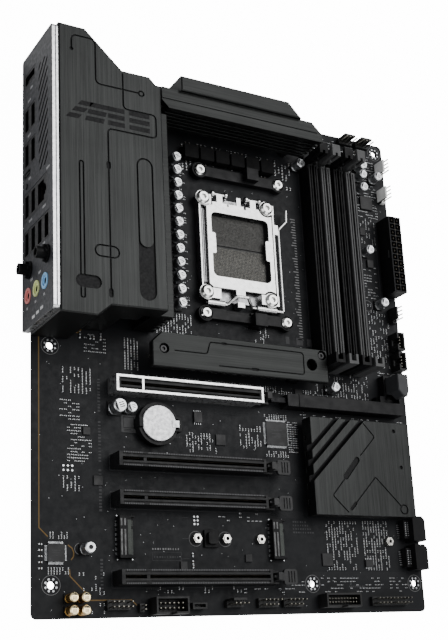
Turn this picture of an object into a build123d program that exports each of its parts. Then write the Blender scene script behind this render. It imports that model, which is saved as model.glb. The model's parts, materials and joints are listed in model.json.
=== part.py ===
"""Full-size ATX computer motherboard, as an assembly of its separate pieces.

Positions in this file are board coordinates in millimetres: X runs from the rear connector edge towards the
front of the case, Y from the expansion-slot end towards the CPU power end, and heights start at the top face
of the circuit board. The exported model has its origin at the datum mounting hole, on the underside of the
circuit board, with +Z up from the component side.
"""
from build123d import *
from math import cos, radians, sin
import os

os.makedirs("parts", exist_ok=True)

# --- driving dimensions -------------------------------------------------------------------------------------
BOARD_L, BOARD_W, BOARD_T = 304.8, 243.84, 1.6
DATUM_X, DATUM_Y = 10.16, 16.51
MOUNT_R = 1.98
MOUNT_HOLES = [(x, y) for x in (10.16, 165.10, 237.49) for y in (16.51, 140.97)]
MOUNT_HOLES += [(33.02, 298.45), (165.10, 298.45), (237.49, 298.45)]
UNDER = 2.0                       # how far pins, screw heads and the backplate stand out below the board

SHIELD_X, SHIELD_T = -3.9, 0.8    # outer face and thickness of the rear connector shield
SHIELD_Y = (146.8, 307.4)
SHIELD_Z = (-3.0, 42.8)
COVER_TOP, COVER_T = 43.5, 2.2
FIT = 0.3                         # gap left round a connector in its shield opening

SLOT_X, SLOT_L, SLOT_W, SLOT_H = 43.5, 89.0, 7.6, 11.2
SLOT_PITCH = 20.32
SLOT_1_Y = 121.0
SLOT_Y = [SLOT_1_Y - SLOT_PITCH * n for n in (0, 2, 3, 5)]

MEMORY_X = [179.8 + 9.5 * n for n in range(4)]
MEMORY_Y = (141.5, 285.0)

FRAME_X, FRAME_Y = (100.2, 151.5), (176.0, 244.5)     # socket frame between its two hinge axes
SOCKET_X, SOCKET_Y = 127.2, 212.3
LEVER_AXIS_Z, HINGE_AXIS_Z = 3.2, 4.5
WIRE_R = 0.95
SOCKET_SCREWS = [(102.8, 181.4), (146.2, 181.4), (102.8, 240.4), (146.2, 240.4)]
BRACKET_SCREWS = [(102.6, 169.1), (156.9, 169.1), (102.6, 258.9), (156.9, 258.9)]

M2_HEATSINK_TOP = 15.5
M2_HEATSINK_SCREWS = [(69.6, 141.3), (172.6, 147.4)]
CHIPSET_TOP = 12.5
CHIPSET_X, CHIPSET_Y = (163.0, 233.2), (53.8, 110.4)

LEFT_BOSSES = [(62.5, 160.0), (62.5, 269.0)]
TOP_BOSSES = [(82.0, 286.5), (164.0, 284.5)]
CHIPSET_BOSSES = [(169.0, 59.5), (227.0, 59.5), (169.0, 99.0), (227.0, 104.5)]
HEATSINK_SCREW_R = 1.5
LINE_W, LINE_DEPTH = 0.8, 0.9         # engraved loops in the cover and the heatsinks

POWER_STAGES_LEFT = [(61.5, 172.5 + 8.0 * n) for n in range(12)]
POWER_STAGES_TOP = [(92.0 + 8.5 * n, 287.0) for n in range(8)]


# --- helpers ------------------------------------------------------------------------------------------------
def level(h=0.0):
    """Plane parallel to the board at height h, in board coordinates."""
    return Plane(origin=(-DATUM_X, -DATUM_Y, BOARD_T + h))


def rear(x):
    """Plane facing the front of the case at board position x, whose local axes are board Y and height."""
    return Plane(origin=(x - DATUM_X, -DATUM_Y, BOARD_T), x_dir=(0, 1, 0), z_dir=(1, 0, 0))


def section(y):
    """Plane across the board at position y, whose local axes are board X and height; it faces -Y."""
    return Plane(origin=(-DATUM_X, y - DATUM_Y, BOARD_T), x_dir=(1, 0, 0), z_dir=(0, -1, 0))


def spot(x, y, h=0.0):
    """A point given in board coordinates, as a model position."""
    return (x - DATUM_X, y - DATUM_Y, BOARD_T + h)


def block(x, y, z, mode=Mode.ADD, edge=0.0):
    """Rectangular block between two X, two Y and two heights, with its upright edges rounded by edge."""
    with BuildSketch(level(z[0])) as outline:
        with Locations(((x[0] + x[1]) / 2, (y[0] + y[1]) / 2)):
            if edge:
                RectangleRounded(x[1] - x[0], y[1] - y[0], edge)
            else:
                Rectangle(x[1] - x[0], y[1] - y[0])
    extrude(outline.sketch, amount=z[1] - z[0], mode=mode)


def post(x, y, z, r, mode=Mode.ADD):
    """Upright cylinder between two heights."""
    with BuildSketch(level(z[0])) as outline:
        with Locations((x, y)):
            Circle(r)
    extrude(outline.sketch, amount=z[1] - z[0], mode=mode)


def barrel(x, y, z, r, mode=Mode.ADD):
    """Cylinder along X between two X positions, centred on y and height z."""
    with BuildSketch(rear(x[0])) as outline:
        with Locations((y, z)):
            Circle(r)
    extrude(outline.sketch, amount=x[1] - x[0], mode=mode)


def plate(points, z, mode=Mode.ADD):
    """Flat prism over an outline of board points, between two heights."""
    with BuildSketch(level(z[0])) as outline:
        with BuildLine():
            Polyline(*points, close=True)
        make_face()
    extrude(outline.sketch, amount=z[1] - z[0], mode=mode)


def groove(points, top, width=0.9, depth=0.7, corner=2.5):
    """Engraved line that follows points with rounded corners."""
    with BuildSketch(level(top - depth)) as line:
        with BuildLine() as path:
            if len(points) > 2:
                FilletPolyline(*points, radius=corner)
            else:
                Line(*points)
        trace(path.line, line_width=width)
    extrude(line.sketch, amount=depth + 1, mode=Mode.SUBTRACT)


def pocket(x, y, length, width, turn, top, depth=0.9):
    """Engraved slot with round ends."""
    with BuildSketch(level(top - depth)) as outline:
        with Locations((x, y)):
            SlotOverall(length, width, rotation=turn)
    extrude(outline.sketch, amount=depth + 1, mode=Mode.SUBTRACT)


def loop(x, y, length, width, turn, top):
    """Engraved outline of a slot with round ends."""
    with BuildSketch(level(top - LINE_DEPTH)) as outline:
        with Locations((x, y)):
            SlotOverall(length, width, rotation=turn)
            SlotOverall(length - 2 * LINE_W, width - 2 * LINE_W, rotation=turn, mode=Mode.SUBTRACT)
    extrude(outline.sketch, amount=LINE_DEPTH + 1, mode=Mode.SUBTRACT)


def save(builder, name):
    """Label one sub-part and write its STEP file."""
    builder.part.label = name
    export_step(builder.part, f"parts/{name}.step")


# --- circuit board ------------------------------------------------------------------------------------------
with BuildPart() as pcb:
    block((0, BOARD_W), (0, BOARD_L), (-BOARD_T, 0))
    upright = pcb.edges().filter_by(Axis.Z)
    fillet(upright, 3.0)
    screw_holes = LEFT_BOSSES + TOP_BOSSES + CHIPSET_BOSSES
    for x, y in MOUNT_HOLES:
        post(x, y, (-BOARD_T, 0), MOUNT_R, Mode.SUBTRACT)
    for x, y in SOCKET_SCREWS + BRACKET_SCREWS:
        post(x, y, (-BOARD_T, 0), 2.2, Mode.SUBTRACT)
    for x, y in screw_holes:
        post(x, y, (-BOARD_T, 0), 1.7, Mode.SUBTRACT)
save(pcb, "pcb")

# --- rear connector shield and the openings that its connectors stand in -------------------------------------
USB_W, USB_H = 14.6, 7.3
USB_STACKS = [(267.2, (3.9, 13.5)), (246.4, (3.9, 13.5)), (216.0, (4.0, 13.6)), (194.4, (3.9, 13.6, 23.3, 33.0))]
LAN_Y, LAN_Z = (208.0, 223.8), (18.6, 34.4)
HDMI_Y, HDMI_Z = (288.6, 295.8), (0.0, 17.0)
USB_C_Y, USB_C_Z = (233.2, 237.0), (0.3, 9.6)
BUTTON_Y, BUTTON_Z, BUTTON_R = 228.0, 4.0, 1.5
ANTENNA_Y, ANTENNA_Z, ANTENNA_R = 178.4, (8.0, 34.0), 4.6
JACK_Y, JACK_Z, JACK_R = 164.8, (6.0, 18.4, 30.8), 4.3
VENT_Y, VENT_Z = (229.0, 292.5), (22.5, 36.0)
VENT_START, VENT_COUNT, VENT_PITCH, VENT_W, VENT_LEAN = 219.7, 12, 6.25, 2.2, 13.6
FLANGE = 2.5

with BuildPart() as io_shield:
    with BuildSketch(rear(SHIELD_X)) as sheet:
        with Locations(((SHIELD_Y[0] + SHIELD_Y[1]) / 2, (SHIELD_Z[0] + SHIELD_Z[1]) / 2)):
            RectangleRounded(SHIELD_Y[1] - SHIELD_Y[0], SHIELD_Z[1] - SHIELD_Z[0], 2.0)
    extrude(sheet.sketch, amount=SHIELD_T + FLANGE)
    with BuildSketch(rear(SHIELD_X + SHIELD_T)) as hollow:
        with Locations(((SHIELD_Y[0] + SHIELD_Y[1]) / 2, (SHIELD_Z[0] + SHIELD_Z[1]) / 2)):
            RectangleRounded(SHIELD_Y[1] - SHIELD_Y[0] - 1.6, SHIELD_Z[1] - SHIELD_Z[0] - 1.6, 1.2)
    extrude(hollow.sketch, amount=FLANGE, mode=Mode.SUBTRACT)
    # the lower flange stops at the board edge, which stands inside it
    block((-0.4, 0), (SHIELD_Y[0] - 1, SHIELD_Y[1] + 1), (-2.5, 0.4), Mode.SUBTRACT)
    with BuildSketch(rear(SHIELD_X)) as openings:
        for y, heights in USB_STACKS:
            top = max(heights) + USB_H / 2
            bottom = min(heights) - USB_H / 2
            if y == USB_STACKS[2][0]:
                continue
            with Locations((y, (top + bottom) / 2)):
                Rectangle(USB_W + 2 * FIT, top - bottom + 2 * FIT)
        with Locations((sum(LAN_Y) / 2, LAN_Z[1] / 2)):
            Rectangle(LAN_Y[1] - LAN_Y[0] + 2 * FIT, LAN_Z[1] + 2 * FIT)
        with Locations((sum(HDMI_Y) / 2, sum(HDMI_Z) / 2)):
            Rectangle(HDMI_Y[1] - HDMI_Y[0] + 2 * FIT, HDMI_Z[1] - HDMI_Z[0] + 2 * FIT)
        with Locations((sum(USB_C_Y) / 2, sum(USB_C_Z) / 2)):
            SlotOverall(USB_C_Z[1] - USB_C_Z[0] + 2 * FIT, USB_C_Y[1] - USB_C_Y[0] + 2 * FIT, rotation=90)
        with Locations((BUTTON_Y, BUTTON_Z)):
            Circle(BUTTON_R + FIT)
        with Locations(*[(ANTENNA_Y, z) for z in ANTENNA_Z]):
            Circle(ANTENNA_R + FIT)
        with Locations(*[(JACK_Y, z) for z in JACK_Z]):
            Circle(JACK_R + FIT)
    extrude(openings.sketch, amount=SHIELD_T, mode=Mode.SUBTRACT)
    # slanting vents, cut off at the four sides of their field
    with BuildSketch(rear(SHIELD_X)) as vents:
        for n in range(VENT_COUNT):
            start = VENT_START + VENT_PITCH * n
            with BuildLine():
                Polyline((start, VENT_Z[0]), (start + VENT_W, VENT_Z[0]), (start + VENT_W + VENT_LEAN, VENT_Z[1]),
                         (start + VENT_LEAN, VENT_Z[1]), close=True)
            make_face()
        with Locations((sum(VENT_Y) / 2, sum(VENT_Z) / 2)):
            Rectangle(VENT_Y[1] - VENT_Y[0], VENT_Z[1] - VENT_Z[0], mode=Mode.INTERSECT)
    extrude(vents.sketch, amount=SHIELD_T, mode=Mode.SUBTRACT)
save(io_shield, "io_shield")

# --- rear connectors ----------------------------------------------------------------------------------------
FACE_X = SHIELD_X + 0.1           # connector mouths stand flush in the shield


def usb_mouth(y, z):
    """Opening of one type-A socket with its tongue left standing in it."""
    with BuildSketch(rear(FACE_X)) as mouth:
        with Locations((y, z)):
            Rectangle(12.6, 5.2)
    extrude(mouth.sketch, amount=13.0, mode=Mode.SUBTRACT)
    with BuildSketch(rear(FACE_X + 1.0)) as tongue:
        with Locations((y, z + 1.0)):
            Rectangle(11.2, 1.8)
    extrude(tongue.sketch, amount=12.0)


with BuildPart() as usb_ports:
    for y, heights in (USB_STACKS[0], USB_STACKS[1], USB_STACKS[3]):
        block((FACE_X, 13.0), (y - USB_W / 2, y + USB_W / 2), (0, max(heights) + USB_H / 2))
        for z in heights:
            usb_mouth(y, z)
    with BuildSketch(rear(FACE_X)) as shell:
        with Locations((sum(USB_C_Y) / 2, sum(USB_C_Z) / 2)):
            SlotOverall(USB_C_Z[1] - USB_C_Z[0], USB_C_Y[1] - USB_C_Y[0], rotation=90)
    extrude(shell.sketch, amount=9.5)
    with BuildSketch(rear(FACE_X)) as mouth:
        with Locations((sum(USB_C_Y) / 2, sum(USB_C_Z) / 2)):
            SlotOverall(8.5, 3.0, rotation=90)
            Rectangle(0.8, 6.6, mode=Mode.SUBTRACT)
    extrude(mouth.sketch, amount=7.0, mode=Mode.SUBTRACT)
    block((2.0, 8.0), (232.6, 237.6), (0, 2.0))
save(usb_ports, "usb_ports")

with BuildPart() as network_port:
    block((FACE_X, 20.0), LAN_Y, (0, LAN_Z[1]))
    for z in USB_STACKS[2][1]:
        usb_mouth(USB_STACKS[2][0], z)
    jack_mid = sum(LAN_Y) / 2
    block((FACE_X, 10.0), (jack_mid - 5.9, jack_mid + 5.9), (20.8, 29.6), Mode.SUBTRACT)
    block((FACE_X, 8.0), (jack_mid - 3.2, jack_mid + 3.2), (29.6, 31.4), Mode.SUBTRACT)
    block((FACE_X, 8.0), (jack_mid - 1.8, jack_mid + 1.8), (31.4, 32.8), Mode.SUBTRACT)
save(network_port, "network_port")

with BuildPart() as display_port:
    block((FACE_X, 8.0), HDMI_Y, (0, HDMI_Z[1]))
    block((FACE_X, 6.0), (HDMI_Y[0] + 0.9, HDMI_Y[1] - 0.9), (1.8, 15.9), Mode.SUBTRACT)
    block((FACE_X + 1.0, 6.0), (HDMI_Y[0] + 2.6, HDMI_Y[1] - 3.3), (3.2, 14.4))
save(display_port, "display_port")

with BuildPart() as audio_jacks:
    block((SHIELD_X + SHIELD_T + 0.4, 11.0), (JACK_Y - 6.2, JACK_Y + 6.2), (0, 37.0))
    for z in JACK_Z:
        barrel((SHIELD_X - 0.4, SHIELD_X + SHIELD_T + 0.4), JACK_Y, z, JACK_R)
        barrel((SHIELD_X - 0.4, 9.0), JACK_Y, z, 1.8, Mode.SUBTRACT)
        barrel((SHIELD_X - 0.4, SHIELD_X + 0.4), JACK_Y, z, 2.9, Mode.SUBTRACT)
save(audio_jacks, "audio_jacks")

with BuildPart() as antenna_connectors:
    for z in ANTENNA_Z:
        barrel((SHIELD_X - 0.9, SHIELD_X + 1.6), ANTENNA_Y, z, ANTENNA_R)
        barrel((SHIELD_X - 6.2, SHIELD_X - 0.9), ANTENNA_Y, z, 3.1)
        barrel((SHIELD_X - 6.2, SHIELD_X - 1.9), ANTENNA_Y, z, 2.1, Mode.SUBTRACT)
        barrel((SHIELD_X - 5.2, SHIELD_X - 1.9), ANTENNA_Y, z, 0.6)
        for turn in range(4):
            wing_y, wing_z = 3.8 * cos(radians(90 * turn)), 3.8 * sin(radians(90 * turn))
            barrel((SHIELD_X - 2.4, SHIELD_X - 0.9), ANTENNA_Y + wing_y, z + wing_z, 1.0)
save(antenna_connectors, "antenna_connectors")

WIFI_BASE = 1.7
with BuildPart() as wifi_module:
    block((-1.8, 22.0), (ANTENNA_Y - 3.4, ANTENNA_Y + 3.4), (0, WIFI_BASE))
    block((-1.8, 22.0), (ANTENNA_Y - 0.8, ANTENNA_Y + 0.8), (WIFI_BASE, 38.5))
    block((3.0, 20.0), (ANTENNA_Y + 0.8, ANTENNA_Y + 2.8), (6.0, 33.0))
    for z in ANTENNA_Z:
        barrel((SHIELD_X + 1.6, -1.8), ANTENNA_Y, z, 2.0)
save(wifi_module, "wifi_module")

with BuildPart() as flashback_button:
    barrel((SHIELD_X - 0.7, SHIELD_X + 3.3), BUTTON_Y, BUTTON_Z, BUTTON_R)
    barrel((SHIELD_X + 1.3, SHIELD_X + 2.3), BUTTON_Y, BUTTON_Z, 2.2)
save(flashback_button, "flashback_button")

with BuildPart() as flashback_switch:
    block((0.2, 6.0), (BUTTON_Y - 3.0, BUTTON_Y + 3.0), (0, 7.0))
save(flashback_switch, "flashback_switch")

# --- cover over the rear connectors -------------------------------------------------------------------------
COVER_OUTLINE = [(-0.5, 308.4), (14.6, 308.4), (36.0, 288.0), (52.4, 288.0), (56.2, 284.0), (59.0, 282.8),
                 (59.0, 152.4), (27.2, 151.6), (19.6, 145.2), (-0.5, 145.2)]
RIGHT_WALL_Z = 31.5

with BuildPart() as io_cover:
    plate(COVER_OUTLINE, (COVER_TOP - COVER_T, COVER_TOP))
    with BuildSketch(level(0.6)) as walls:
        with BuildLine():
            Polyline(*COVER_OUTLINE, close=True)
        make_face()
        offset(amount=-2.0, mode=Mode.SUBTRACT)
    extrude(walls.sketch, amount=COVER_TOP - COVER_T - 0.6)
    block((-2, 1.6), (147.2, 306.4), (-1, COVER_TOP - COVER_T), Mode.SUBTRACT)
    block((50.0, 60.0), (120, 300), (0, RIGHT_WALL_Z), Mode.SUBTRACT)
    block((40.0, 60.0), (120, 156), (0, 24.0), Mode.SUBTRACT)
    rim = io_cover.edges().group_by(Axis.Z)[-1]
    chamfer(rim, 0.7)
    groove([(6.6, 294.0), (6.6, 302.6), (20.2, 302.6), (20.2, 276.2), (45.0, 276.2)], COVER_TOP, corner=3.0)
    groove([(36.0, 286.0), (36.0, 264.6), (55.2, 264.6), (55.2, 250.8), (26.7, 250.8), (26.7, 230.6)], COVER_TOP)
    groove([(26.7, 229.4), (26.7, 158.0)], COVER_TOP)
    loop(11.4, 191.3, 76.0, 2.9, 90, COVER_TOP)
    pocket(26.7, 229.4, 4.6, 2.4, 90, COVER_TOP)
    pocket(26.7, 158.0, 5.0, 2.4, 90, COVER_TOP)
    loop(25.0, 180.4, 14.0, 7.0, 0, COVER_TOP)
    pocket(14.6, 162.7, 14.0, 7.0, 0, COVER_TOP)
    # long engraved loop whose lower third is sunk all over
    with BuildSketch(level(COVER_TOP - LINE_DEPTH)) as sunk:
        with Locations((47.6, 197.0)):
            SlotOverall(81.0, 9.6, rotation=90)
        with Locations((47.6, 211.4)):
            SlotOverall(50.4, 7.8, rotation=90, mode=Mode.SUBTRACT)
    extrude(sunk.sketch, amount=LINE_DEPTH + 1, mode=Mode.SUBTRACT)
    post(6.6, 294.0, (COVER_TOP - 0.9, COVER_TOP + 1), 1.1, Mode.SUBTRACT)
    post(46.9, 276.2, (COVER_TOP - LINE_DEPTH, COVER_TOP + 1), 1.9, Mode.SUBTRACT)
    post(46.9, 276.2, (COVER_TOP - LINE_DEPTH, COVER_TOP), 1.1)
save(io_cover, "io_cover")

# --- voltage regulator: power stages, chokes, pads, heatsinks -------------------------------------------------
with BuildPart() as chokes:
    for n in range(11):
        y = 169.5 + 9.7 * n
        block((71.4, 80.4), (y - 4.4, y + 4.4), (0, 7.0), edge=0.8)
    for n in range(6):
        x = 97.0 + 10.5 * n
        block((x - 4.6, x + 4.6), (265.2, 273.6), (0, 6.0), edge=0.8)
save(chokes, "chokes")

CHIPSET_MID = (198.0, 82.0)
with BuildPart() as soft_pads:
    block((58.5, 64.5), (168.5, 264.5), (1.0, 2.0))
    block((88.0, 155.5), (284.4, 289.6), (1.0, 2.0))
    block((CHIPSET_MID[0] - 8, CHIPSET_MID[0] + 8), (CHIPSET_MID[1] - 8, CHIPSET_MID[1] + 8), (2.0, 3.0))
    block((82.0, 152.0), (133.8, 148.2), (7.0, 8.5))
    block((96.6, 105.4), (36.0, 45.6), (0, 1.6), edge=0.6)
    block((98.0, 104.0), (37.6, 44.0), (1.6, 4.0), edge=1.2)
save(soft_pads, "soft_pads")

with BuildPart() as left_vrm_heatsink:
    block((56.8, 69.4), (154.0, 275.0), (2.0, 30.0))
    block((45.0, 56.8), (162.0, 270.0), (16.0, 39.5))
    block((56.8, 57.6), (162.0, 270.0), (29.0, 31.0))
    for x, y in LEFT_BOSSES:
        post(x, y, (0, 2.0), 3.2)
        post(x, y, (0, 6.0), HEATSINK_SCREW_R + 0.05, Mode.SUBTRACT)
    for n in range(12):
        y = 166.5 + 9.0 * n
        block((44.0, 52.0), (y, y + 3.4), (20.0, 40.0), Mode.SUBTRACT)
    for z in (7.0, 12.0, 17.0, 22.0):
        block((65.6, 70.0), (153.0, 276.0), (z, z + 2.2), Mode.SUBTRACT)
    chamfer(left_vrm_heatsink.edges().filter_by(Axis.Y).group_by(Axis.X)[-1].sort_by(Axis.Z)[-1], 0.8)
save(left_vrm_heatsink, "left_vrm_heatsink")

TOP_LOWER = [(66.0, 292.0), (66.0, 283.6), (70.2, 279.4), (174.2, 279.4), (174.2, 285.0), (167.6, 291.6),
             (159.6, 291.6), (150.2, 300.4), (77.4, 300.4), (77.4, 292.0)]
TOP_UPPER = [(77.4, 291.2), (158.8, 291.2), (150.2, 300.4), (77.4, 300.4)]
TOP_STEP_Z, TOP_Z = 31.0, 33.6
with BuildPart() as top_vrm_heatsink:
    plate(TOP_LOWER, (8.0, TOP_STEP_Z))
    plate(TOP_UPPER, (TOP_STEP_Z, TOP_Z))
    block((87.0, 157.0), (283.6, 290.4), (2.0, 8.0))
    for x, y in TOP_BOSSES:
        post(x, y, (0, 8.0), 3.2)
        post(x, y, (0, 6.0), HEATSINK_SCREW_R + 0.05, Mode.SUBTRACT)
    for n in range(5):
        z = 11.0 + 3.6 * n
        block((60.0, 180.0), (278.0, 282.4), (z, z + 1.8), Mode.SUBTRACT)
        block((84.0, 144.0), (296.0, 301.0), (z, z + 1.8), Mode.SUBTRACT)
    block((66.0, 171.0), (284.6, 285.2), (TOP_STEP_Z - 0.7, TOP_STEP_Z + 1), Mode.SUBTRACT)
    rims = top_vrm_heatsink.faces().sort_by(Axis.Z)[-1].edges()
    chamfer(rims, 0.6)
save(top_vrm_heatsink, "top_vrm_heatsink")

# --- capacitors ---------------------------------------------------------------------------------------------


def can(x, y, r, height):
    """Polymer capacitor: square foot, turned-in neck above it and a can with a slightly rounded top."""
    with BuildPart(mode=Mode.PRIVATE) as body:
        block((x - r, x + r), (y - r, y + r), (0, 0.9), edge=0.6)
        with BuildSketch(section(y)) as half:
            with BuildLine():
                Polyline((x, 0.9), (x + r - 0.2, 0.9), (x + r - 0.2, 1.5), (x + r - 0.5, 1.9), (x + r - 0.2, 2.3),
                         (x + r - 0.2, height - 0.5), (x + r - 0.7, height), (x, height), close=True)
            make_face()
        revolve(half.sketch, axis=Axis(spot(x, y), (0, 0, 1)), revolution_arc=360)
    add(body.part)


VRM_CAPS = [(86.0, 172.3 + 8.24 * n) for n in range(12)]
with BuildPart() as vrm_capacitors:
    for x, y in VRM_CAPS:
        can(x, y, 3.2, 8.0)
save(vrm_capacitors, "vrm_capacitors")

AUDIO_CAPS = [(19.2, 9.9), (25.6, 9.9), (19.2, 3.6), (25.6, 3.6)]
OTHER_CAPS = [(221.9, 284.4), (221.2, 277.6), (221.2, 268.7), (233.2, 278.2), (173.0, 275.7), (221.4, 225.0),
              (229.2, 190.4), (186.1, 131.4), (28.2, 34.4)]
with BuildPart() as capacitors:
    for x, y in OTHER_CAPS:
        can(x, y, 3.2, 8.5)
    for x, y in AUDIO_CAPS:
        can(x, y, 2.6, 8.6)
    can(46.0, 109.4, 4.0, 9.0)
    can(54.2, 109.6, 3.1, 6.5)
save(capacitors, "capacitors")

# --- processor socket ---------------------------------------------------------------------------------------
WELL_X, WELL_Y = (108.4, 146.6), (192.0, 232.6)
with BuildPart() as socket_body:
    block((105.6, 148.8), (187.0, 236.6), (0, 3.6), edge=1.5)
    block(WELL_X, WELL_Y, (2.0, 4.0), Mode.SUBTRACT)
    for y in (WELL_Y[0], WELL_Y[1] - 1.2):
        for x in (WELL_X[0] + 8.0, WELL_X[1] - 11.0):
            block((x, x + 3.0), (y, y + 1.2), (2.0, 3.6))
save(socket_body, "socket_body")

with BuildPart() as socket_contacts:
    block((WELL_X[0] + 1.4, WELL_X[1] - 1.4), (WELL_Y[0] + 1.4, 211.9), (2.0, 2.6))
    block((WELL_X[0] + 1.4, WELL_X[1] - 1.4), (212.9, WELL_Y[1] - 1.4), (2.0, 2.6))
save(socket_contacts, "socket_contacts")

PAD_Z = (4.8, 6.0)
TAB_X = (123.0, 127.6)
with BuildPart() as socket_frame:
    block(FRAME_X, (178.2, 243.2), (0.2, 1.4), edge=2.0)
    block((104.9, 149.5), (186.3, 237.3), (0, 2), Mode.SUBTRACT)
    block((FRAME_X[0], FRAME_X[0] + 1.0), (180.2, 241.2), (1.4, 5.6))
    block((FRAME_X[1] - 1.0, FRAME_X[1]), (180.2, 241.2), (1.4, 5.6))
    # ribbed rail beside the load plate
    block((FRAME_X[0] + 1.0, 104.6), (188.0, 234.0), (1.4, 3.4))
    block((102.2, 102.9), (188.0, 234.0), (3.4, 4.6))
    block((103.7, 104.3), (188.0, 234.0), (3.4, 4.2))
    for x, y in SOCKET_SCREWS:
        side = 1 if x > SOCKET_X else -1
        end = 1 if y > SOCKET_Y else -1
        edge_x = FRAME_X[1] if side > 0 else FRAME_X[0]
        edge_y = 243.2 if end > 0 else 178.2
        inner_x = edge_x - side * (8.2 if end > 0 else 12.0)
        inner_y = edge_y - end * 6.2
        block(sorted((edge_x, inner_x)), sorted((edge_y, inner_y)), PAD_Z)
        block(sorted((edge_x, inner_x)), sorted((edge_y, edge_y - end * 1.0)), (1.0, PAD_Z[0]))
        post(x, y, PAD_Z, 4.6)
        post(x, y, (0, 8), 2.1, Mode.SUBTRACT)
    # knuckles that carry the lever at one end and the load plate at the other
    for x in ((104.0, 115.0), (137.0, 150.2)):
        barrel(x, FRAME_Y[0], LEVER_AXIS_Z, 2.0)
        block(x, (FRAME_Y[0], 179.0), (0.2, 1.6))
        barrel((x[0] - 1, x[1] + 1), FRAME_Y[0], LEVER_AXIS_Z, WIRE_R + 0.05, Mode.SUBTRACT)
    for x in (109.3, 118.2, 132.3, 141.2):
        block((x, x + 1.2), (242.0, FRAME_Y[1]), (0.2, HINGE_AXIS_Z))
        barrel((x, x + 1.2), FRAME_Y[1], HINGE_AXIS_Z, 2.0)
        barrel((x - 0.1, x + 1.3), FRAME_Y[1], HINGE_AXIS_Z, 1.05, Mode.SUBTRACT)
    block((FRAME_X[1] - 0.6, 154.2), (224.6, 231.0), (4.6, 5.6))
    # upturned tab under the lever's crank
    block(TAB_X, (174.4, 179.4), (0.2, 1.4))
    block(TAB_X, (174.4, 177.6), (1.4, 6.0))
save(socket_frame, "socket_frame")

WINDOW_X, WINDOW_Y = (107.8, 146.8), (192.0, 232.2)
PLATE_Z = (5.0, 6.2)
with BuildPart() as load_plate:
    block((104.9, 149.5), (184.9, 236.6), PLATE_Z, edge=2.0)
    block((109.0, 145.4), (236.0, 238.8), PLATE_Z)
    with BuildSketch(level(PLATE_Z[0])) as window:
        with Locations((sum(WINDOW_X) / 2, sum(WINDOW_Y) / 2)):
            RectangleRounded(WINDOW_X[1] - WINDOW_X[0], WINDOW_Y[1] - WINDOW_Y[0], 3.2)
        for x in WINDOW_X:
            with Locations((x, 212.6)):
                RectangleRounded(5.0, 13.0, 1.2, mode=Mode.SUBTRACT)
    extrude(window.sketch, amount=2.0, mode=Mode.SUBTRACT)
    for x in ((104.9, 105.9), (148.5, 149.5)):
        block(x, (188.0, 234.0), (3.8, PLATE_Z[0]))
    # clearance round the four screw heads
    for x, y in SOCKET_SCREWS:
        post(x, y, (3, 8), 5.6, Mode.SUBTRACT)
    for x in ((112.4, 116.4), (135.4, 139.4)):
        block(x, (238.0, FRAME_Y[1]), (PLATE_Z[0], PLATE_Z[0] + 0.5))
    for x in ((109.2, 119.5), (132.2, 142.5)):
        barrel(x, FRAME_Y[1], HINGE_AXIS_Z, 1.0)
    block((125.6, 128.4), (238.0, 244.0), PLATE_Z)
    block((122.2, 128.4), (181.6, 185.5), PLATE_Z)
    block((119.0, 120.0), (236.9, 240.0), (0, 9), Mode.SUBTRACT)
    block((130.4, 132.0), (236.9, 240.0), (0, 9), Mode.SUBTRACT)
save(load_plate, "load_plate")

ARM_X = 155.6
with BuildPart() as load_lever:
    with BuildLine() as route:
        Polyline(
            spot(104.6, FRAME_Y[0], LEVER_AXIS_Z), spot(117.4, FRAME_Y[0], LEVER_AXIS_Z),
            spot(121.4, 180.2, 7.9), spot(129.0, 180.2, 7.9), spot(133.8, FRAME_Y[0], LEVER_AXIS_Z),
            spot(ARM_X, FRAME_Y[0], LEVER_AXIS_Z), spot(ARM_X, 229.0, LEVER_AXIS_Z),
            spot(160.8, 234.6, LEVER_AXIS_Z + 1.4), spot(161.0, 242.0, LEVER_AXIS_Z + 1.8),
        )
    with BuildSketch(Plane(origin=route.line @ 0, z_dir=route.line % 0)) as wire:
        Circle(WIRE_R)
    sweep(wire.sketch, path=route.line, transition=Transition.ROUND)
save(load_lever, "load_lever")


def pan_screw(x, y, base, head_r, head_h, shank_r, bottom, recess):
    """Pan-head machine screw standing on height base, with a driver recess and its shank down to bottom."""
    with BuildPart(mode=Mode.PRIVATE) as screw:
        with BuildSketch(section(y)) as half:
            with BuildLine():
                Polyline((x, bottom), (x + shank_r, bottom), (x + shank_r, base), (x + head_r, base),
                         (x + head_r, base + head_h * 0.45), (x + head_r * 0.72, base + head_h),
                         (x, base + head_h), close=True)
            make_face()
        revolve(half.sketch, axis=Axis(spot(x, y), (0, 0, 1)), revolution_arc=360)
        with BuildSketch(level(base + head_h - recess)) as drive:
            with Locations((x, y)):
                RegularPolygon(head_r * 0.42, 6)
        extrude(drive.sketch, amount=recess + 1, mode=Mode.SUBTRACT)
    add(screw.part)


SHANK_END = -BOARD_T - UNDER + 0.3     # socket and bracket screws end inside the backplate
with BuildPart() as socket_screws:
    for x, y in SOCKET_SCREWS:
        pan_screw(x, y, PAD_Z[1], 4.1, 2.0, 1.9, SHANK_END, 1.2)
save(socket_screws, "socket_screws")

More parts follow.
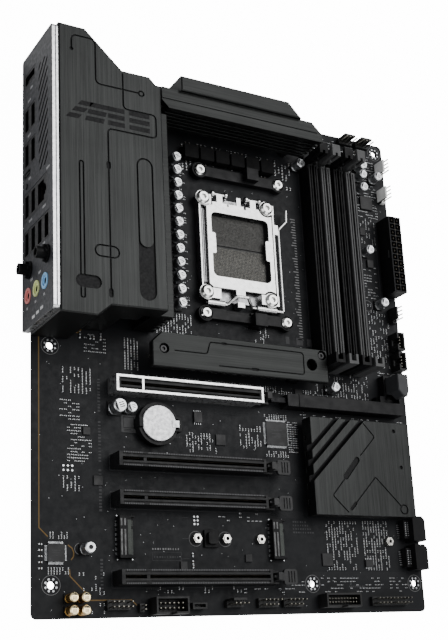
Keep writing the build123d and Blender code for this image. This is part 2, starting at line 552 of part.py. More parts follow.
BRACKET_TOP = 4.3
with BuildPart() as cooler_brackets:
    for y, side in ((169.1, -1), (258.9, 1)):
        near, far = (y - side * 3.4, y + side * 3.0)
        block((104.0, 155.5), sorted((near, far)), (0, BRACKET_TOP))
        for x in (102.6, 156.9):
            post(x, y, (0, BRACKET_TOP), 4.8)
        lug_x = (132.6, 140.6)
        block(lug_x, sorted((y - side * 2.2, y + side * 5.4)), (0, 9.0))
        block((lug_x[0] + 1.4, lug_x[1] - 1.4), sorted((y + side * 1.0, y + side * 4.0)), (5.4, 7.6), Mode.SUBTRACT)
        for x in (102.6, 156.9):
            post(x, y, (-1, 6), 2.2, Mode.SUBTRACT)
            post(x, y, (BRACKET_TOP - 0.8, 6), 4.2, Mode.SUBTRACT)
    # notch that the lever's crank swings down into
    block((116.0, 132.4), (170.6, 173.0), (3.0, 5.0), Mode.SUBTRACT)
save(cooler_brackets, "cooler_brackets")

with BuildPart() as socket_backplate:
    block((95.6, 163.9), (162.1, 265.9), (-BOARD_T - UNDER, -BOARD_T), edge=5.0)
    block((112.0, 142.0), (195.0, 229.0), (-BOARD_T - UNDER, -BOARD_T), Mode.SUBTRACT, edge=3.0)
    for y in (176.0, 251.0):
        block((110.0, 139.0), (y - 3.0, y + 3.0), (-BOARD_T - UNDER, -BOARD_T), Mode.SUBTRACT, edge=2.0)
    for x, y in SOCKET_SCREWS + BRACKET_SCREWS:
        post(x, y, (-BOARD_T - UNDER, -BOARD_T), 2.0, Mode.SUBTRACT)
save(socket_backplate, "socket_backplate")

# --- memory slots and their latches ---------------------------------------------------------------------------
LATCH_PIVOT_Y, LATCH_PIVOT_Z = 279.2, 3.0
TOWER_Z = 24.5
for number, x in enumerate(MEMORY_X, start=1):
    with BuildPart() as memory_slot:
        block((x - 3.3, x + 3.3), (147.6, 274.6), (0, 11.0))
        block((x - 3.3, x + 3.3), (141.5, 147.6), (0, TOWER_Z))
        block((x - 1.7, x + 1.7), (143.4, 148.0), (11.0, TOWER_Z), Mode.SUBTRACT)
        block((x - 0.75, x + 0.75), (145.5, 274.6), (3.6, 11.0), Mode.SUBTRACT)
        block((x - 0.75, x + 0.75), (208.9, 211.5), (3.6, 9.4))
        # chamfered rails beside the slit
        for side in (-1, 1):
            block(sorted((x + side * 1.5, x + side * 2.3)), (148.5, 273.6), (10.2, 11.0), Mode.SUBTRACT)
        # fork that carries the latch
        block((x - 3.3, x + 3.3), (274.6, 283.4), (0, 6.2))
        block((x - 2.0, x + 2.0), (274.6, 283.4), (0.8, 6.2), Mode.SUBTRACT)
        barrel((x - 3.4, x + 3.4), LATCH_PIVOT_Y, LATCH_PIVOT_Z, 0.95, Mode.SUBTRACT)
    save(memory_slot, f"memory_slot_{number}")

    with BuildPart() as memory_latch:
        block((x - 1.7, x + 1.7), (277.2, 281.4), (1.8, 12.0))
        block((x - 3.0, x + 3.0), (276.6, 281.6), (12.0, 22.0))
        block((x - 3.0, x + 3.0), (276.6, 284.6), (22.0, TOWER_Z))
        block((x - 0.9, x + 0.9), (276.0, 278.6), (12.5, TOWER_Z + 1), Mode.SUBTRACT)
        block((x - 0.7, x + 0.7), (275.2, 279.2), (15.0, 17.5))
        barrel((x - 3.2, x + 3.2), LATCH_PIVOT_Y, LATCH_PIVOT_Z, 0.9)
        chamfer(memory_latch.faces().sort_by(Axis.Z)[-1].edges().filter_by(Axis.X).sort_by(Axis.Y)[-1], 0.8)
    save(memory_latch, f"memory_latch_{number}")

# --- expansion slots and their latches ------------------------------------------------------------------------
CARD_PIVOT_X, CARD_PIVOT_Z = 136.4, 2.6
KEY_X = SLOT_X + 14.0
for number, y in enumerate(SLOT_Y, start=1):
    shielded = number == 1
    with BuildPart() as pcie_slot:
        block((SLOT_X, SLOT_X + SLOT_L), (y - SLOT_W / 2, y + SLOT_W / 2), (0, SLOT_H))
        block((SLOT_X + 2.0, SLOT_X + SLOT_L - 1.6), (y - 0.95, y + 0.95), (2.6, SLOT_H), Mode.SUBTRACT)
        block((KEY_X, KEY_X + 1.8), (y - 0.95, y + 0.95), (2.6, SLOT_H - 0.4))
        for side in (-1, 1):
            block((SLOT_X + 2.0, SLOT_X + SLOT_L - 1.6), sorted((y + side * 2.1, y + side * 2.9)),
                  (SLOT_H - 0.8, SLOT_H), Mode.SUBTRACT)
        # cheeks at the front end that carry the latch
        end_x = SLOT_X + SLOT_L
        for side in (-1, 1):
            block((end_x, end_x + 7.0), sorted((y + side * 2.3, y + side * 3.6)), (0, 6.0))
        block((end_x, end_x + 7.0), (y - 2.3, y + 2.3), (0, 0.6))
        with BuildSketch(section(y + 4)) as pivot:
            with Locations((CARD_PIVOT_X, CARD_PIVOT_Z)):
                Circle(0.95)
        extrude(pivot.sketch, amount=8, mode=Mode.SUBTRACT)
    save(pcie_slot, f"pcie_slot_{number}")

    with BuildPart() as pcie_latch:
        block((135.0, 138.0), (y - 2.0, y + 2.0), (1.2, 13.2))
        block((133.4, 136.0), (y - 0.6, y + 0.6), (9.0, 11.4))
        if not shielded:
            block((137.5, 141.0), (y - 2.0, y + 2.0), (7.0, 9.0))
            block((141.0, 149.5), (y - 4.2, y + 4.2), (7.0, 9.0), edge=1.6)
            for x in (143.6, 145.4, 147.2):
                block((x, x + 0.7), (y - 3.0, y + 3.0), (8.5, 9.5), Mode.SUBTRACT)
        with BuildSketch(section(y + 3.4)) as pin:
            with Locations((CARD_PIVOT_X, CARD_PIVOT_Z)):
                Circle(0.9)
        extrude(pin.sketch, amount=6.8)
    save(pcie_latch, f"pcie_latch_{number}")

SHROUD_T, SHROUD_RIM = 0.7, 1.3
SHROUD_X = (SLOT_X - SHROUD_T - 0.02, SLOT_X + SLOT_L + SHROUD_T + 0.02)
with BuildPart() as pcie_shroud:
    half = SLOT_W / 2 + 0.02
    block(SHROUD_X, (SLOT_1_Y - half - SHROUD_T, SLOT_1_Y + half + SHROUD_T), (0, SLOT_H + 0.5))
    block((SLOT_X - 0.02, SLOT_X + SLOT_L + 0.02), (SLOT_1_Y - half, SLOT_1_Y + half), (-1, SLOT_H), Mode.SUBTRACT)
    window_x = (SHROUD_X[0] + SHROUD_RIM, SHROUD_X[1] - SHROUD_RIM)
    window_y = (SLOT_1_Y - half - SHROUD_T + SHROUD_RIM, SLOT_1_Y + half + SHROUD_T - SHROUD_RIM)
    block((window_x[0], KEY_X), window_y, (SLOT_H - 1, 13), Mode.SUBTRACT)
    block((KEY_X + 1.3, window_x[1]), window_y, (SLOT_H - 1, 13), Mode.SUBTRACT)
    block((131.0, 135.0), (SLOT_1_Y - half - 1, SLOT_1_Y + half + 1), (-1, 6.2), Mode.SUBTRACT)
save(pcie_shroud, "pcie_shroud")

# --- release button for the card latch, with its link under a cover -------------------------------------------
BAR_Y, BAR_TOP = (116.8, 124.2), 9.0
LINK_Z = (4.4, 7.0)
BUTTON_X, BUTTON_BODY_Y, BUTTON_TOP = (225.2, 233.2), (130.4, 140.4), 18.4
with BuildPart() as release_cover:
    block((151.0, 235.0), BAR_Y, (0, BAR_TOP), edge=0.8)
    block((141.0, 230.0), (118.6, 122.4), (3.0, 7.6), Mode.SUBTRACT)
    block((218.0, 235.0), (122.0, 128.4), (0, 5.0))
    block((218.5, 234.5), (124.4, 128.4), (5.0, BAR_TOP - 1.0))
    block((222.2, 233.0), (121.0, 129.0), (2.4, 8.6), Mode.SUBTRACT)
    block((158.6, 159.0), (116.0, 125.0), (BAR_TOP - 0.5, BAR_TOP + 1), Mode.SUBTRACT)
    block((223.6, 234.6), (128.4, 142.2), (0, 6.0))
    block((225.0, 233.4), (128.0, 140.8), (1.2, 7.0), Mode.SUBTRACT)
    post(237.49, 140.97, (-1, 7), 4.2, Mode.SUBTRACT)
save(release_cover, "release_cover")

with BuildPart() as release_link:
    block((140.8, 222.8), (119.0, 122.0), LINK_Z)
    block((140.8, 142.0), (118.9, 122.1), (LINK_Z[0] - 0.8, LINK_Z[1] + 0.2))
save(release_link, "release_link")

with BuildPart() as release_button:
    block(BUTTON_X, BUTTON_BODY_Y, (4.4, BUTTON_TOP))
    plate([(BUTTON_X[0], 130.4), (228.8, 126.6), (BUTTON_X[1] - 1.5, 126.6), (BUTTON_X[1], 130.4)], (9.6, BUTTON_TOP))
    caps = release_button.faces().sort_by(Axis.Z)[-1].edges()
    chamfer(caps, 0.5)
save(release_button, "release_button")

# --- storage heatsink, sockets, posts -------------------------------------------------------------------------
M2_OUTLINE = [(62.6, 131.0), (62.6, 145.0), (68.6, 150.8), (176.2, 150.8), (176.2, 131.0)]
M2_ACCESS = (165.10, 140.97)
with BuildPart() as m2_heatsink:
    plate(M2_OUTLINE, (11.2, M2_HEATSINK_TOP))
    block((66.4, 173.4), (133.6, 148.4), (8.5, 11.2))
    post(*M2_HEATSINK_SCREWS[0], (8.5, 11.2), 4.2)
    block((66.4, 69.6), (134.0, 137.0), (3.0, 8.5))
    for n in range(12):
        x = 84.0 + 6.4 * n
        block((x, x + 2.6), (130.0, 133.0), (11.2, 13.2), Mode.SUBTRACT)
        block((x, x + 2.6), (148.8, 152.0), (11.2, 13.2), Mode.SUBTRACT)
    for x, y in M2_HEATSINK_SCREWS:
        post(x, y, (8.0, M2_HEATSINK_TOP), 1.6, Mode.SUBTRACT)
        post(x, y, (M2_HEATSINK_TOP - 2.6, M2_HEATSINK_TOP + 1), 2.9, Mode.SUBTRACT)
    post(*M2_ACCESS, (8.0, M2_HEATSINK_TOP + 1), 3.6, Mode.SUBTRACT)
    groove([(75.6, 140.6), (95.8, 140.6), (97.8, 147.6), (159.4, 147.6), (159.4, 134.4), (103.0, 134.4)],
           M2_HEATSINK_TOP, width=0.7, corner=1.8)
    pocket(106.8, 147.6, 3.6, 1.5, 0, M2_HEATSINK_TOP)
    pocket(126.4, 134.4, 5.2, 1.7, 0, M2_HEATSINK_TOP)
    chamfer(m2_heatsink.faces().sort_by(Axis.Z)[-1].outer_wire().edges(), 0.4)
save(m2_heatsink, "m2_heatsink")

M2_POSTS = [(92.0, 40.7), (110.0, 40.7), (131.6, 40.7), (220.4, 40.7), (80.0, 146.6)]
with BuildPart() as m2_sockets:
    for x, y in ((46.0, 40.7), (138.4, 40.7)):
        block((x, x + 8.6), (y - 11.0, y + 11.0), (0, 4.2))
        block((x + 4.4, x + 9.0), (y - 10.0, y + 10.0), (1.4, 2.9), Mode.SUBTRACT)
        block((x + 6.4, x + 9.0), (y - 10.0, y + 10.0), (2.9, 4.4), Mode.SUBTRACT)
        block((x + 4.4, x + 8.6), (y + 4.6, y + 5.6), (1.4, 2.9))
    block((156.0, 162.4), (133.0, 150.0), (0, 6.0))
    block((154.0, 158.0), (134.0, 149.0), (2.4, 4.0), Mode.SUBTRACT)
save(m2_sockets, "m2_sockets")

with BuildPart() as m2_posts:
    for x, y in M2_POSTS:
        with BuildSketch(level(0)) as foot:
            with Locations((x, y)):
                RegularPolygon(2.7, 6)
        extrude(foot.sketch, amount=2.6)
        post(x, y, (2.6, 3.2), 1.9)
        post(x, y, (0.6, 4.0), 1.0, Mode.SUBTRACT)
    for x, y in M2_HEATSINK_SCREWS:
        post(x, y, (0, 8.5), 2.6)
        post(x, y, (1.0, 9.0), 1.3, Mode.SUBTRACT)
save(m2_posts, "m2_posts")

# --- chipset --------------------------------------------------------------------------------------------------
DIAGONALS = [((182.2, 111.4), (162.0, 91.6)), ((190.8, 111.4), (162.0, 83.0)), ((200.6, 111.4), (162.0, 73.8))]
with BuildPart() as chipset_heatsink:
    block(CHIPSET_X, CHIPSET_Y, (3.6, CHIPSET_TOP))
    block((187.0, 209.0), (71.0, 93.0), (3.0, 3.6))
    for x, y in CHIPSET_BOSSES:
        post(x, y, (0, 3.6), 3.2)
        post(x, y, (0, 6.0), HEATSINK_SCREW_R + 0.05, Mode.SUBTRACT)
    for a, b in DIAGONALS:
        groove([a, b], CHIPSET_TOP, width=2.6, depth=5.0)
    groove([(200.4, 109.0), (208.0, 101.0), (196.6, 89.2)], CHIPSET_TOP, corner=1.5, width=0.7)
    groove([(184.6, 75.4), (175.0, 65.0), (185.2, 55.4)], CHIPSET_TOP, corner=1.5, width=0.7)
    groove([(191.0, 61.2), (206.2, 76.8), (221.6, 61.8), (223.6, 59.8)], CHIPSET_TOP, corner=1.0, width=0.7)
    pocket(189.6, 81.4, 17.0, 3.6, 49, CHIPSET_TOP)
    pocket(189.0, 59.2, 6.4, 2.0, 45, CHIPSET_TOP)
    for x, y, r in ((222.6, 105.4, 1.2), (226.0, 83.5, 1.2), (225.4, 58.2, 3.0)):
        post(x, y, (CHIPSET_TOP - LINE_DEPTH, CHIPSET_TOP + 1), r, Mode.SUBTRACT)
        if r > 2:
            post(x, y, (CHIPSET_TOP - LINE_DEPTH, CHIPSET_TOP), r - LINE_W)
    for n in range(5):
        y = 60.0 + 9.4 * n
        block((160.0, 166.0), (y, y + 3.4), (5.0, 6.8), Mode.SUBTRACT)
save(chipset_heatsink, "chipset_heatsink")

with BuildPart() as heatsink_screws:
    for x, y in LEFT_BOSSES + TOP_BOSSES + CHIPSET_BOSSES:
        post(x, y, (-BOARD_T - UNDER, -BOARD_T), 2.8)
        post(x, y, (-BOARD_T, 3.4), HEATSINK_SCREW_R)
        block((x - 1.8, x + 1.8), (y - 0.3, y + 0.3), (-BOARD_T - UNDER, -BOARD_T - UNDER + 0.8), Mode.SUBTRACT)
        block((x - 0.3, x + 0.3), (y - 1.8, y + 1.8), (-BOARD_T - UNDER, -BOARD_T - UNDER + 0.8), Mode.SUBTRACT)
    for x, y in M2_HEATSINK_SCREWS:
        pan_screw(x, y, M2_HEATSINK_TOP - 2.6, 2.6, 1.7, 1.25, 4.0, 1.0)
    for x, y in BRACKET_SCREWS:
        pan_screw(x, y, BRACKET_TOP - 0.8, 3.6, 2.2, 1.9, SHANK_END, 1.2)
save(heatsink_screws, "heatsink_screws")

# --- battery ----------------------------------------------------------------------------------------------------
BATTERY = (69.6, 101.6)
with BuildPart() as battery:
    post(*BATTERY, (3.4, 4.0), 8.4)
    post(*BATTERY, (4.0, 6.6), 10.0)
    chamfer(battery.edges().group_by(Axis.Z)[-1], 0.35)
save(battery, "battery")

with BuildPart() as battery_holder:
    post(*BATTERY, (0, 5.2), 11.9)
    post(*BATTERY, (3.4, 6), 10.15, Mode.SUBTRACT)
    post(*BATTERY, (1.6, 6), 8.8, Mode.SUBTRACT)
    block((79.0, 83.0), (97.6, 105.6), (0, 6.4))
    block((78.0, 81.0), (98.8, 104.4), (3.4, 7.0), Mode.SUBTRACT)
    block((57.4, 59.8), (99.0, 104.2), (0, 7.3))
    post(*BATTERY, (3.4, 6.75), 10.15, Mode.SUBTRACT)
save(battery_holder, "battery_holder")

# --- integrated circuits ---------------------------------------------------------------------------------------
CHIPS = [
    (12.6, 32.4, 9.0, 9.0, 1.4), (146.8, 101.8, 14.0, 14.0, 1.4), (226.8, 260.6, 9.4, 9.0, 1.2),
    (225.6, 218.0, 4.6, 5.2, 1.4), (164.0, 127.6, 5.0, 4.0, 0.9), (110.0, 96.0, 6.0, 6.0, 0.9),
    (96.0, 108.0, 5.0, 6.2, 1.4), (84.0, 26.0, 4.0, 5.0, 0.9), (36.0, 70.0, 5.0, 5.0, 0.9),
    (30.0, 96.0, 4.0, 4.0, 0.9), (176.0, 30.0, 7.0, 7.0, 0.9), (205.0, 28.0, 5.2, 4.2, 1.4),
    (222.0, 240.0, 4.0, 5.0, 0.9), (216.0, 162.0, 4.4, 8.0, 1.0), (124.0, 30.5, 4.0, 4.0, 0.9),
    (27.5, 236.0, 7.0, 7.0, 1.2), (33.5, 200.0, 7.0, 7.0, 1.2), (31.5, 262.0, 7.0, 7.0, 1.2),
]
with BuildPart() as chips:
    for x, y, length, width, height in CHIPS:
        block((x - length / 2, x + length / 2), (y - width / 2, y + width / 2), (0.15, height))
        block((x - length / 2 + 0.4, x + length / 2 - 0.4), (y - width / 2 + 0.4, y + width / 2 - 0.4), (0, 0.15))
    for x, y in POWER_STAGES_LEFT:
        block((x - 2.5, x + 2.5), (y - 3.0, y + 3.0), (0, 1.0))
    for x, y in POWER_STAGES_TOP:
        block((x - 3.0, x + 3.0), (y - 2.5, y + 2.5), (0, 1.0))
    block((CHIPSET_MID[0] - 10, CHIPSET_MID[0] + 10), (CHIPSET_MID[1] - 10, CHIPSET_MID[1] + 10), (0, 0.9))
    block((CHIPSET_MID[0] - 5, CHIPSET_MID[0] + 5), (CHIPSET_MID[1] - 5, CHIPSET_MID[1] + 5), (0.9, 2.0))
save(chips, "chips")

# --- power connectors -------------------------------------------------------------------------------------------
CELL, POWER_H = 4.2, 12.8


def power_connector(x, y, columns, rows, latch):
    """Shrouded power header: a grid of square cells, each with a pin, and a latch ramp on one side."""
    width, length = columns * CELL + 1.2, rows * CELL + 1.2
    block((x - width / 2, x + width / 2), (y - length / 2, y + length / 2), (0, POWER_H))
    with BuildSketch(level(3.0)) as cells:
        with Locations((x, y)):
            with GridLocations(CELL, CELL, columns, rows):
                Rectangle(3.5, 3.5)
                Circle(0.55, mode=Mode.SUBTRACT)
    extrude(cells.sketch, amount=POWER_H, mode=Mode.SUBTRACT)
    latch_x, latch_y = latch
    block((x + latch_x[0], x + latch_x[1]), (y + latch_y[0], y + latch_y[1]), (7.4, 11.0))


with BuildPart() as main_power_connector:
    power_connector(239.1, 222.6, 2, 12, ((-6.0, -4.4), (-2.6, 2.6)))
save(main_power_connector, "main_power_connector")

with BuildPart() as cpu_power_connectors:
    for x in (47.2, 66.4):
        power_connector(x, 298.4, 4, 2, ((-2.6, 2.6), (4.4, 5.9)))
save(cpu_power_connectors, "cpu_power_connectors")

# --- signal connectors --------------------------------------------------------------------------------------------
PIN = 0.32


def pins(x, y, columns, rows, pitch, z, skip=()):
    """Square contact pins on a grid; skip lists the places left empty, counted from the low corner."""
    for column in range(columns):
        for row in range(rows):
            if (column, row) in skip:
                continue
            px = x + (column - (columns - 1) / 2) * pitch
            py = y + (row - (rows - 1) / 2) * pitch
            block((px - PIN, px + PIN), (py - PIN, py + PIN), z)


def boxed_header(x, y, columns, rows, pitch, height, key):
    """Shrouded header with a gap in one long wall for the key of its plug."""
    width, length = columns * pitch + 3.6, rows * pitch + 3.6
    block((x - width / 2, x + width / 2), (y - length / 2, y + length / 2), (0, height))
    block((x - width / 2 + 1, x + width / 2 - 1), (y - length / 2 + 1, y + length / 2 - 1), (1.6, height + 1),
          Mode.SUBTRACT)
    if key == "x":
        block((x - width / 2 - 1, x - width / 2 + 2), (y - 2, y + 2), (3.0, height + 1), Mode.SUBTRACT)
    else:
        block((x - 2, x + 2), (y - length / 2 - 1, y - length / 2 + 2), (3.0, height + 1), Mode.SUBTRACT)
    pins(x, y, columns, rows, pitch, (1.6, height - 1.5))


def fan_header(x, y, count, across):
    """Fan or lighting header: pin base with a friction wall behind it."""
    length = count * 2.54
    long_x, long_y = (length / 2, 1.6) if across else (1.6, length / 2)
    block((x - long_x, x + long_x), (y - long_y, y + long_y), (0, 3.2))
    if across:
        block((x - length / 2 + 1, x + length / 2 - 1), (y + 1.6, y + 2.9), (0, 9.4))
        pins(x, y, count, 1, 2.54, (3.2, 11.4))
    else:
        block((x - 2.9, x - 1.6), (y - length / 2 + 1, y + length / 2 - 1), (0, 9.4))
        pins(x, y, 1, count, 2.54, (3.2, 11.4))


FAN_HEADERS = [(239.8, 286.2, 4, False), (239.8, 267.2, 4, False), (225.6, 300.6, 4, True), (212.6, 300.6, 4, True),
               (239.4, 184.0, 4, False), (112.6, 5.6, 4, True)]
with BuildPart() as fan_headers:
    for x, y, count, across in FAN_HEADERS:
        fan_header(x, y, count, across)
save(fan_headers, "fan_headers")

with BuildPart() as pin_headers:
    for x, y, columns, gap in ((45.4, 6.2, 5, (3, 1)), (134.0, 6.2, 5, (4, 0)), (150.0, 6.2, 5, (4, 0)),
                               (216.6, 6.2, 10, (4, 0))):
        half_w = columns * 1.27
        block((x - half_w, x + half_w), (y - 2.54, y + 2.54), (0, 2.5))
        pins(x, y, columns, 2, 2.54, (2.5, 8.6), skip=(gap,))
    block((57.0, 59.6), (2.4, 6.8), (0, 2.5))
    pins(58.3, 4.6, 1, 2, 2.0, (2.5, 7.0))
    block((86.0, 94.6), (3.4, 6.6), (0, 5.2))
    block((87.0, 93.6), (4.2, 5.8), (1.6, 5.6), Mode.SUBTRACT)
save(pin_headers, "pin_headers")

with BuildPart() as boxed_headers:
    boxed_header(72.8, 5.2, 6, 2, 2.54, 9.0, "y")
    boxed_header(238.2, 165.2, 1, 4, 2.0, 9.0, "x")
    boxed_header(238.2, 152.2, 1, 4, 2.0, 9.0, "x")
    boxed_header(180.0, 6.6, 10, 2, 2.0, 9.0, "y")
save(boxed_headers, "boxed_headers")

SATA_X, SATA_STEP_X, SATA_W, SATA_H = (229.6, 242.6), 233.5, 14.7, 9.0
with BuildPart() as sata_ports:
    for y in (31.1, 47.85):
        low_y, high_y = y - SATA_W / 2, y + SATA_W / 2
        block((SATA_X[0], SATA_STEP_X), (low_y + 1.8, high_y - 1.8), (0, 5.0))
        plate([(SATA_STEP_X, low_y), (SATA_X[1], low_y), (SATA_X[1], high_y - 2.2), (SATA_X[1] - 2.2, high_y),
               (SATA_STEP_X, high_y)], (0, SATA_H))
        block((236.0, 243.0), (y - 6.0, y + 5.0), (2.0, 7.4), Mode.SUBTRACT)
        block((235.6, 242.0), (y - 5.0, y + 4.4), (4.2, 5.4))
        block((235.6, 242.0), (y - 5.0, y - 3.8), (3.0, 4.2))
save(sata_ports, "sata_ports")

# --- soldered ends of the connectors, under the board ---------------------------------------------------------
PIN_FIELDS = [
    (239.1, 222.6, 2, 12, 4.2), (47.2, 298.4, 4, 2, 4.2), (66.4, 298.4, 4, 2, 4.2), (45.4, 6.2, 5, 2, 2.54),
    (134.0, 6.2, 5, 2, 2.54), (150.0, 6.2, 5, 2, 2.54), (216.6, 6.2, 10, 2, 2.54), (72.8, 5.2, 5, 2, 2.54),
    (3.5, 216.0, 2, 3, 5.0), (3.5, 194.4, 2, 3, 5.0), (3.5, 246.4, 2, 3, 5.0), (3.5, 267.2, 2, 3, 5.0),
    (4.0, 292.2, 2, 2, 4.0), (4.0, 164.8, 2, 3, 4.4), (10.0, 179.2, 2, 1, 8.0),
]
with BuildPart() as solder_pins:
    with BuildSketch(level(-BOARD_T - UNDER)) as tails:
        for x, y, columns, rows, pitch in PIN_FIELDS:
            with Locations((x, y)):
                with GridLocations(pitch, pitch, columns, rows):
                    Circle(0.55)
        for y in SLOT_Y:
            with Locations((SLOT_X + SLOT_L / 2, y)):
                with GridLocations(8.6, 4.0, 10, 2):
                    Circle(0.45)
        for x in MEMORY_X:
            with Locations((x, sum(MEMORY_Y) / 2)):
                with GridLocations(5.0, 24.0, 1, 6):
                    Circle(0.8)
    extrude(tails.sketch, amount=UNDER)
save(solder_pins, "solder_pins")
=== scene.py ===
import json
import math
import random

import bpy
from mathutils import Matrix, Vector
from mathutils.bvhtree import BVHTree


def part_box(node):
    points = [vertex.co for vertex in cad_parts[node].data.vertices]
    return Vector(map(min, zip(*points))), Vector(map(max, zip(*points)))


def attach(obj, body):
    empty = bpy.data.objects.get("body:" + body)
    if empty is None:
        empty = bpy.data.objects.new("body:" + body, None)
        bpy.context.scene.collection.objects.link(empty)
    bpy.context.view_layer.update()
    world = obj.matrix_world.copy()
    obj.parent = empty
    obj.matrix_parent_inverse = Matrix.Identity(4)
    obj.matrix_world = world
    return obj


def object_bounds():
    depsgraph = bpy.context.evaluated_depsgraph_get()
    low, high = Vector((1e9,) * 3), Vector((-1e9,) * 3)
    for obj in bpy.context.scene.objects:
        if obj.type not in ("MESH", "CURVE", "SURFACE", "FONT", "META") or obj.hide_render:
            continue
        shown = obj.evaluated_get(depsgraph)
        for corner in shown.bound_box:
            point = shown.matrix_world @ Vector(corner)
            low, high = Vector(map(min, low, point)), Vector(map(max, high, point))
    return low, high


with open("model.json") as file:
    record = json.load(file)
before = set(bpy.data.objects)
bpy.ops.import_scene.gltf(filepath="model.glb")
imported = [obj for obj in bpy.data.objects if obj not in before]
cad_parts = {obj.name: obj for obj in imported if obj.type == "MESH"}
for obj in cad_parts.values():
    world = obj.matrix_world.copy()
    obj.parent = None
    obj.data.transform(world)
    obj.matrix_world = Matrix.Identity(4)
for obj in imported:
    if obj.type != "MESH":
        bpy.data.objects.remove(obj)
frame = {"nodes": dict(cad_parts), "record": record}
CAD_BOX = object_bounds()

MM = 0.001
RECORD = frame["record"]
NODES = frame["nodes"]
PCB_LOW, PCB_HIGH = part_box("pcb")
ORIGIN = Vector((PCB_LOW.x, PCB_LOW.y, PCB_HIGH.z))  # rear slot-side corner of the board's top face
UNDERSIDE = (PCB_LOW.z - PCB_HIGH.z) / MM
FIELD_SPLIT = 212.4  # gap between the two halves of the processor's contact field
FILM = 0.03  # how far print and pads stand off the board, so that they show


def at(x, y, h=0.0):
    """A place on the board, in millimetres from its rear slot-side corner and above its top face."""
    return Vector((ORIGIN.x + x * MM, ORIGIN.y + y * MM, ORIGIN.z + h * MM))


def span(node):
    """A node's lowest and highest corner in the same board millimetres."""
    low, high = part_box(node)
    return (low - ORIGIN) / MM, (high - ORIGIN) / MM


# --- looks ----------------------------------------------------------------------------------------
class Look:
    """A Principled material whose patterns are worked out in object space."""

    def __init__(self, name, roughness=0.5, metallic=0.0, specular=0.5):
        self.material = bpy.data.materials.new(name)
        self.material.use_nodes = True
        self.nodes = self.material.node_tree.nodes
        self.links = self.material.node_tree.links
        self.shader = self.nodes["Principled BSDF"]
        self.shader.inputs["Roughness"].default_value = roughness
        self.shader.inputs["Metallic"].default_value = metallic
        self.shader.inputs["Specular IOR Level"].default_value = specular
        self.place = self.nodes.new("ShaderNodeTexCoord").outputs["Object"]
        self.normal = None

    def noise(self, scale, stretch=(1, 1, 1), detail=3.0):
        """Noise with features of about 1 / scale metres, drawn out along an axis whose stretch is small."""
        mapping = self.nodes.new("ShaderNodeMapping")
        mapping.inputs["Scale"].default_value = stretch
        self.links.new(self.place, mapping.inputs["Vector"])
        noise = self.nodes.new("ShaderNodeTexNoise")
        noise.inputs["Scale"].default_value = scale
        noise.inputs["Detail"].default_value = detail
        self.links.new(mapping.outputs["Vector"], noise.inputs["Vector"])
        return noise.outputs["Fac"]

    def cells(self, scale):
        """Distance to the nearest of scattered points, for specks of dust."""
        cells = self.nodes.new("ShaderNodeTexVoronoi")
        cells.inputs["Scale"].default_value = scale
        self.links.new(self.place, cells.inputs["Vector"])
        return cells.outputs["Distance"]

    def distance_along(self, axis):
        """Place along one axis, in metres."""
        parts = self.nodes.new("ShaderNodeSeparateXYZ")
        self.links.new(self.place, parts.inputs["Vector"])
        return parts.outputs[axis]

    def ranged(self, factor, low, high, start=0.3, end=0.7):
        """low where factor is start or less, high where it is end or more, and even steps between."""
        node = self.nodes.new("ShaderNodeMapRange")
        for name, value in (("From Min", start), ("From Max", end), ("To Min", low), ("To Max", high)):
            node.inputs[name].default_value = value
        self.links.new(factor, node.inputs["Value"])
        return node.outputs["Result"]

    def mixed(self, factor, first, second):
        """Colour between first and second; each is a colour or a socket."""
        node = self.nodes.new("ShaderNodeMix")
        node.data_type = "RGBA"
        sockets = [s for s in node.inputs if s.type == "RGBA"]
        self.links.new(factor, node.inputs["Factor"])
        for socket, value in zip(sockets, (first, second)):
            if isinstance(value, bpy.types.NodeSocket):
                self.links.new(value, socket)
            else:
                socket.default_value = (*value, 1.0)
        return next(s for s in node.outputs if s.type == "RGBA")

    def times(self, first, second):
        """Product of two sockets."""
        node = self.nodes.new("ShaderNodeMath")
        node.operation = "MULTIPLY"
        self.links.new(first, node.inputs[0])
        self.links.new(second, node.inputs[1])
        return node.outputs["Value"]

    def edges(self, radius):
        """1 within about radius metres of an edge, 0 on the flats. Also rounds the shading of the edges."""
        bevel = self.nodes.new("ShaderNodeBevel")
        bevel.samples = 4
        bevel.inputs["Radius"].default_value = radius
        self.normal = bevel.outputs["Normal"]
        flat = self.nodes.new("ShaderNodeNewGeometry")
        dot = self.nodes.new("ShaderNodeVectorMath")
        dot.operation = "DOT_PRODUCT"
        self.links.new(self.normal, dot.inputs[0])
        self.links.new(flat.outputs["Normal"], dot.inputs[1])
        return self.ranged(dot.outputs["Value"], 1.0, 0.0, 0.82, 0.995)

    def color(self, value):
        """Base colour, given as a colour or a socket."""
        if isinstance(value, bpy.types.NodeSocket):
            self.links.new(value, self.shader.inputs["Base Color"])
        else:
            self.shader.inputs["Base Color"].default_value = (*value, 1.0)

    def roughness(self, socket):
        """Roughness, worked out by a socket."""
        self.links.new(socket, self.shader.inputs["Roughness"])

    def bump(self, factor, depth):
        """Relief of the given depth in metres."""
        node = self.nodes.new("ShaderNodeBump")
        node.inputs["Distance"].default_value = depth
        self.links.new(factor, node.inputs["Height"])
        if self.normal is not None:
            self.links.new(self.normal, node.inputs["Normal"])
        self.normal = node.outputs["Normal"]
        self.links.new(self.normal, self.shader.inputs["Normal"])


def scaled(color, by):
    """A lighter or darker shade of a colour."""
    return tuple(min(1.0, c * by) for c in color)


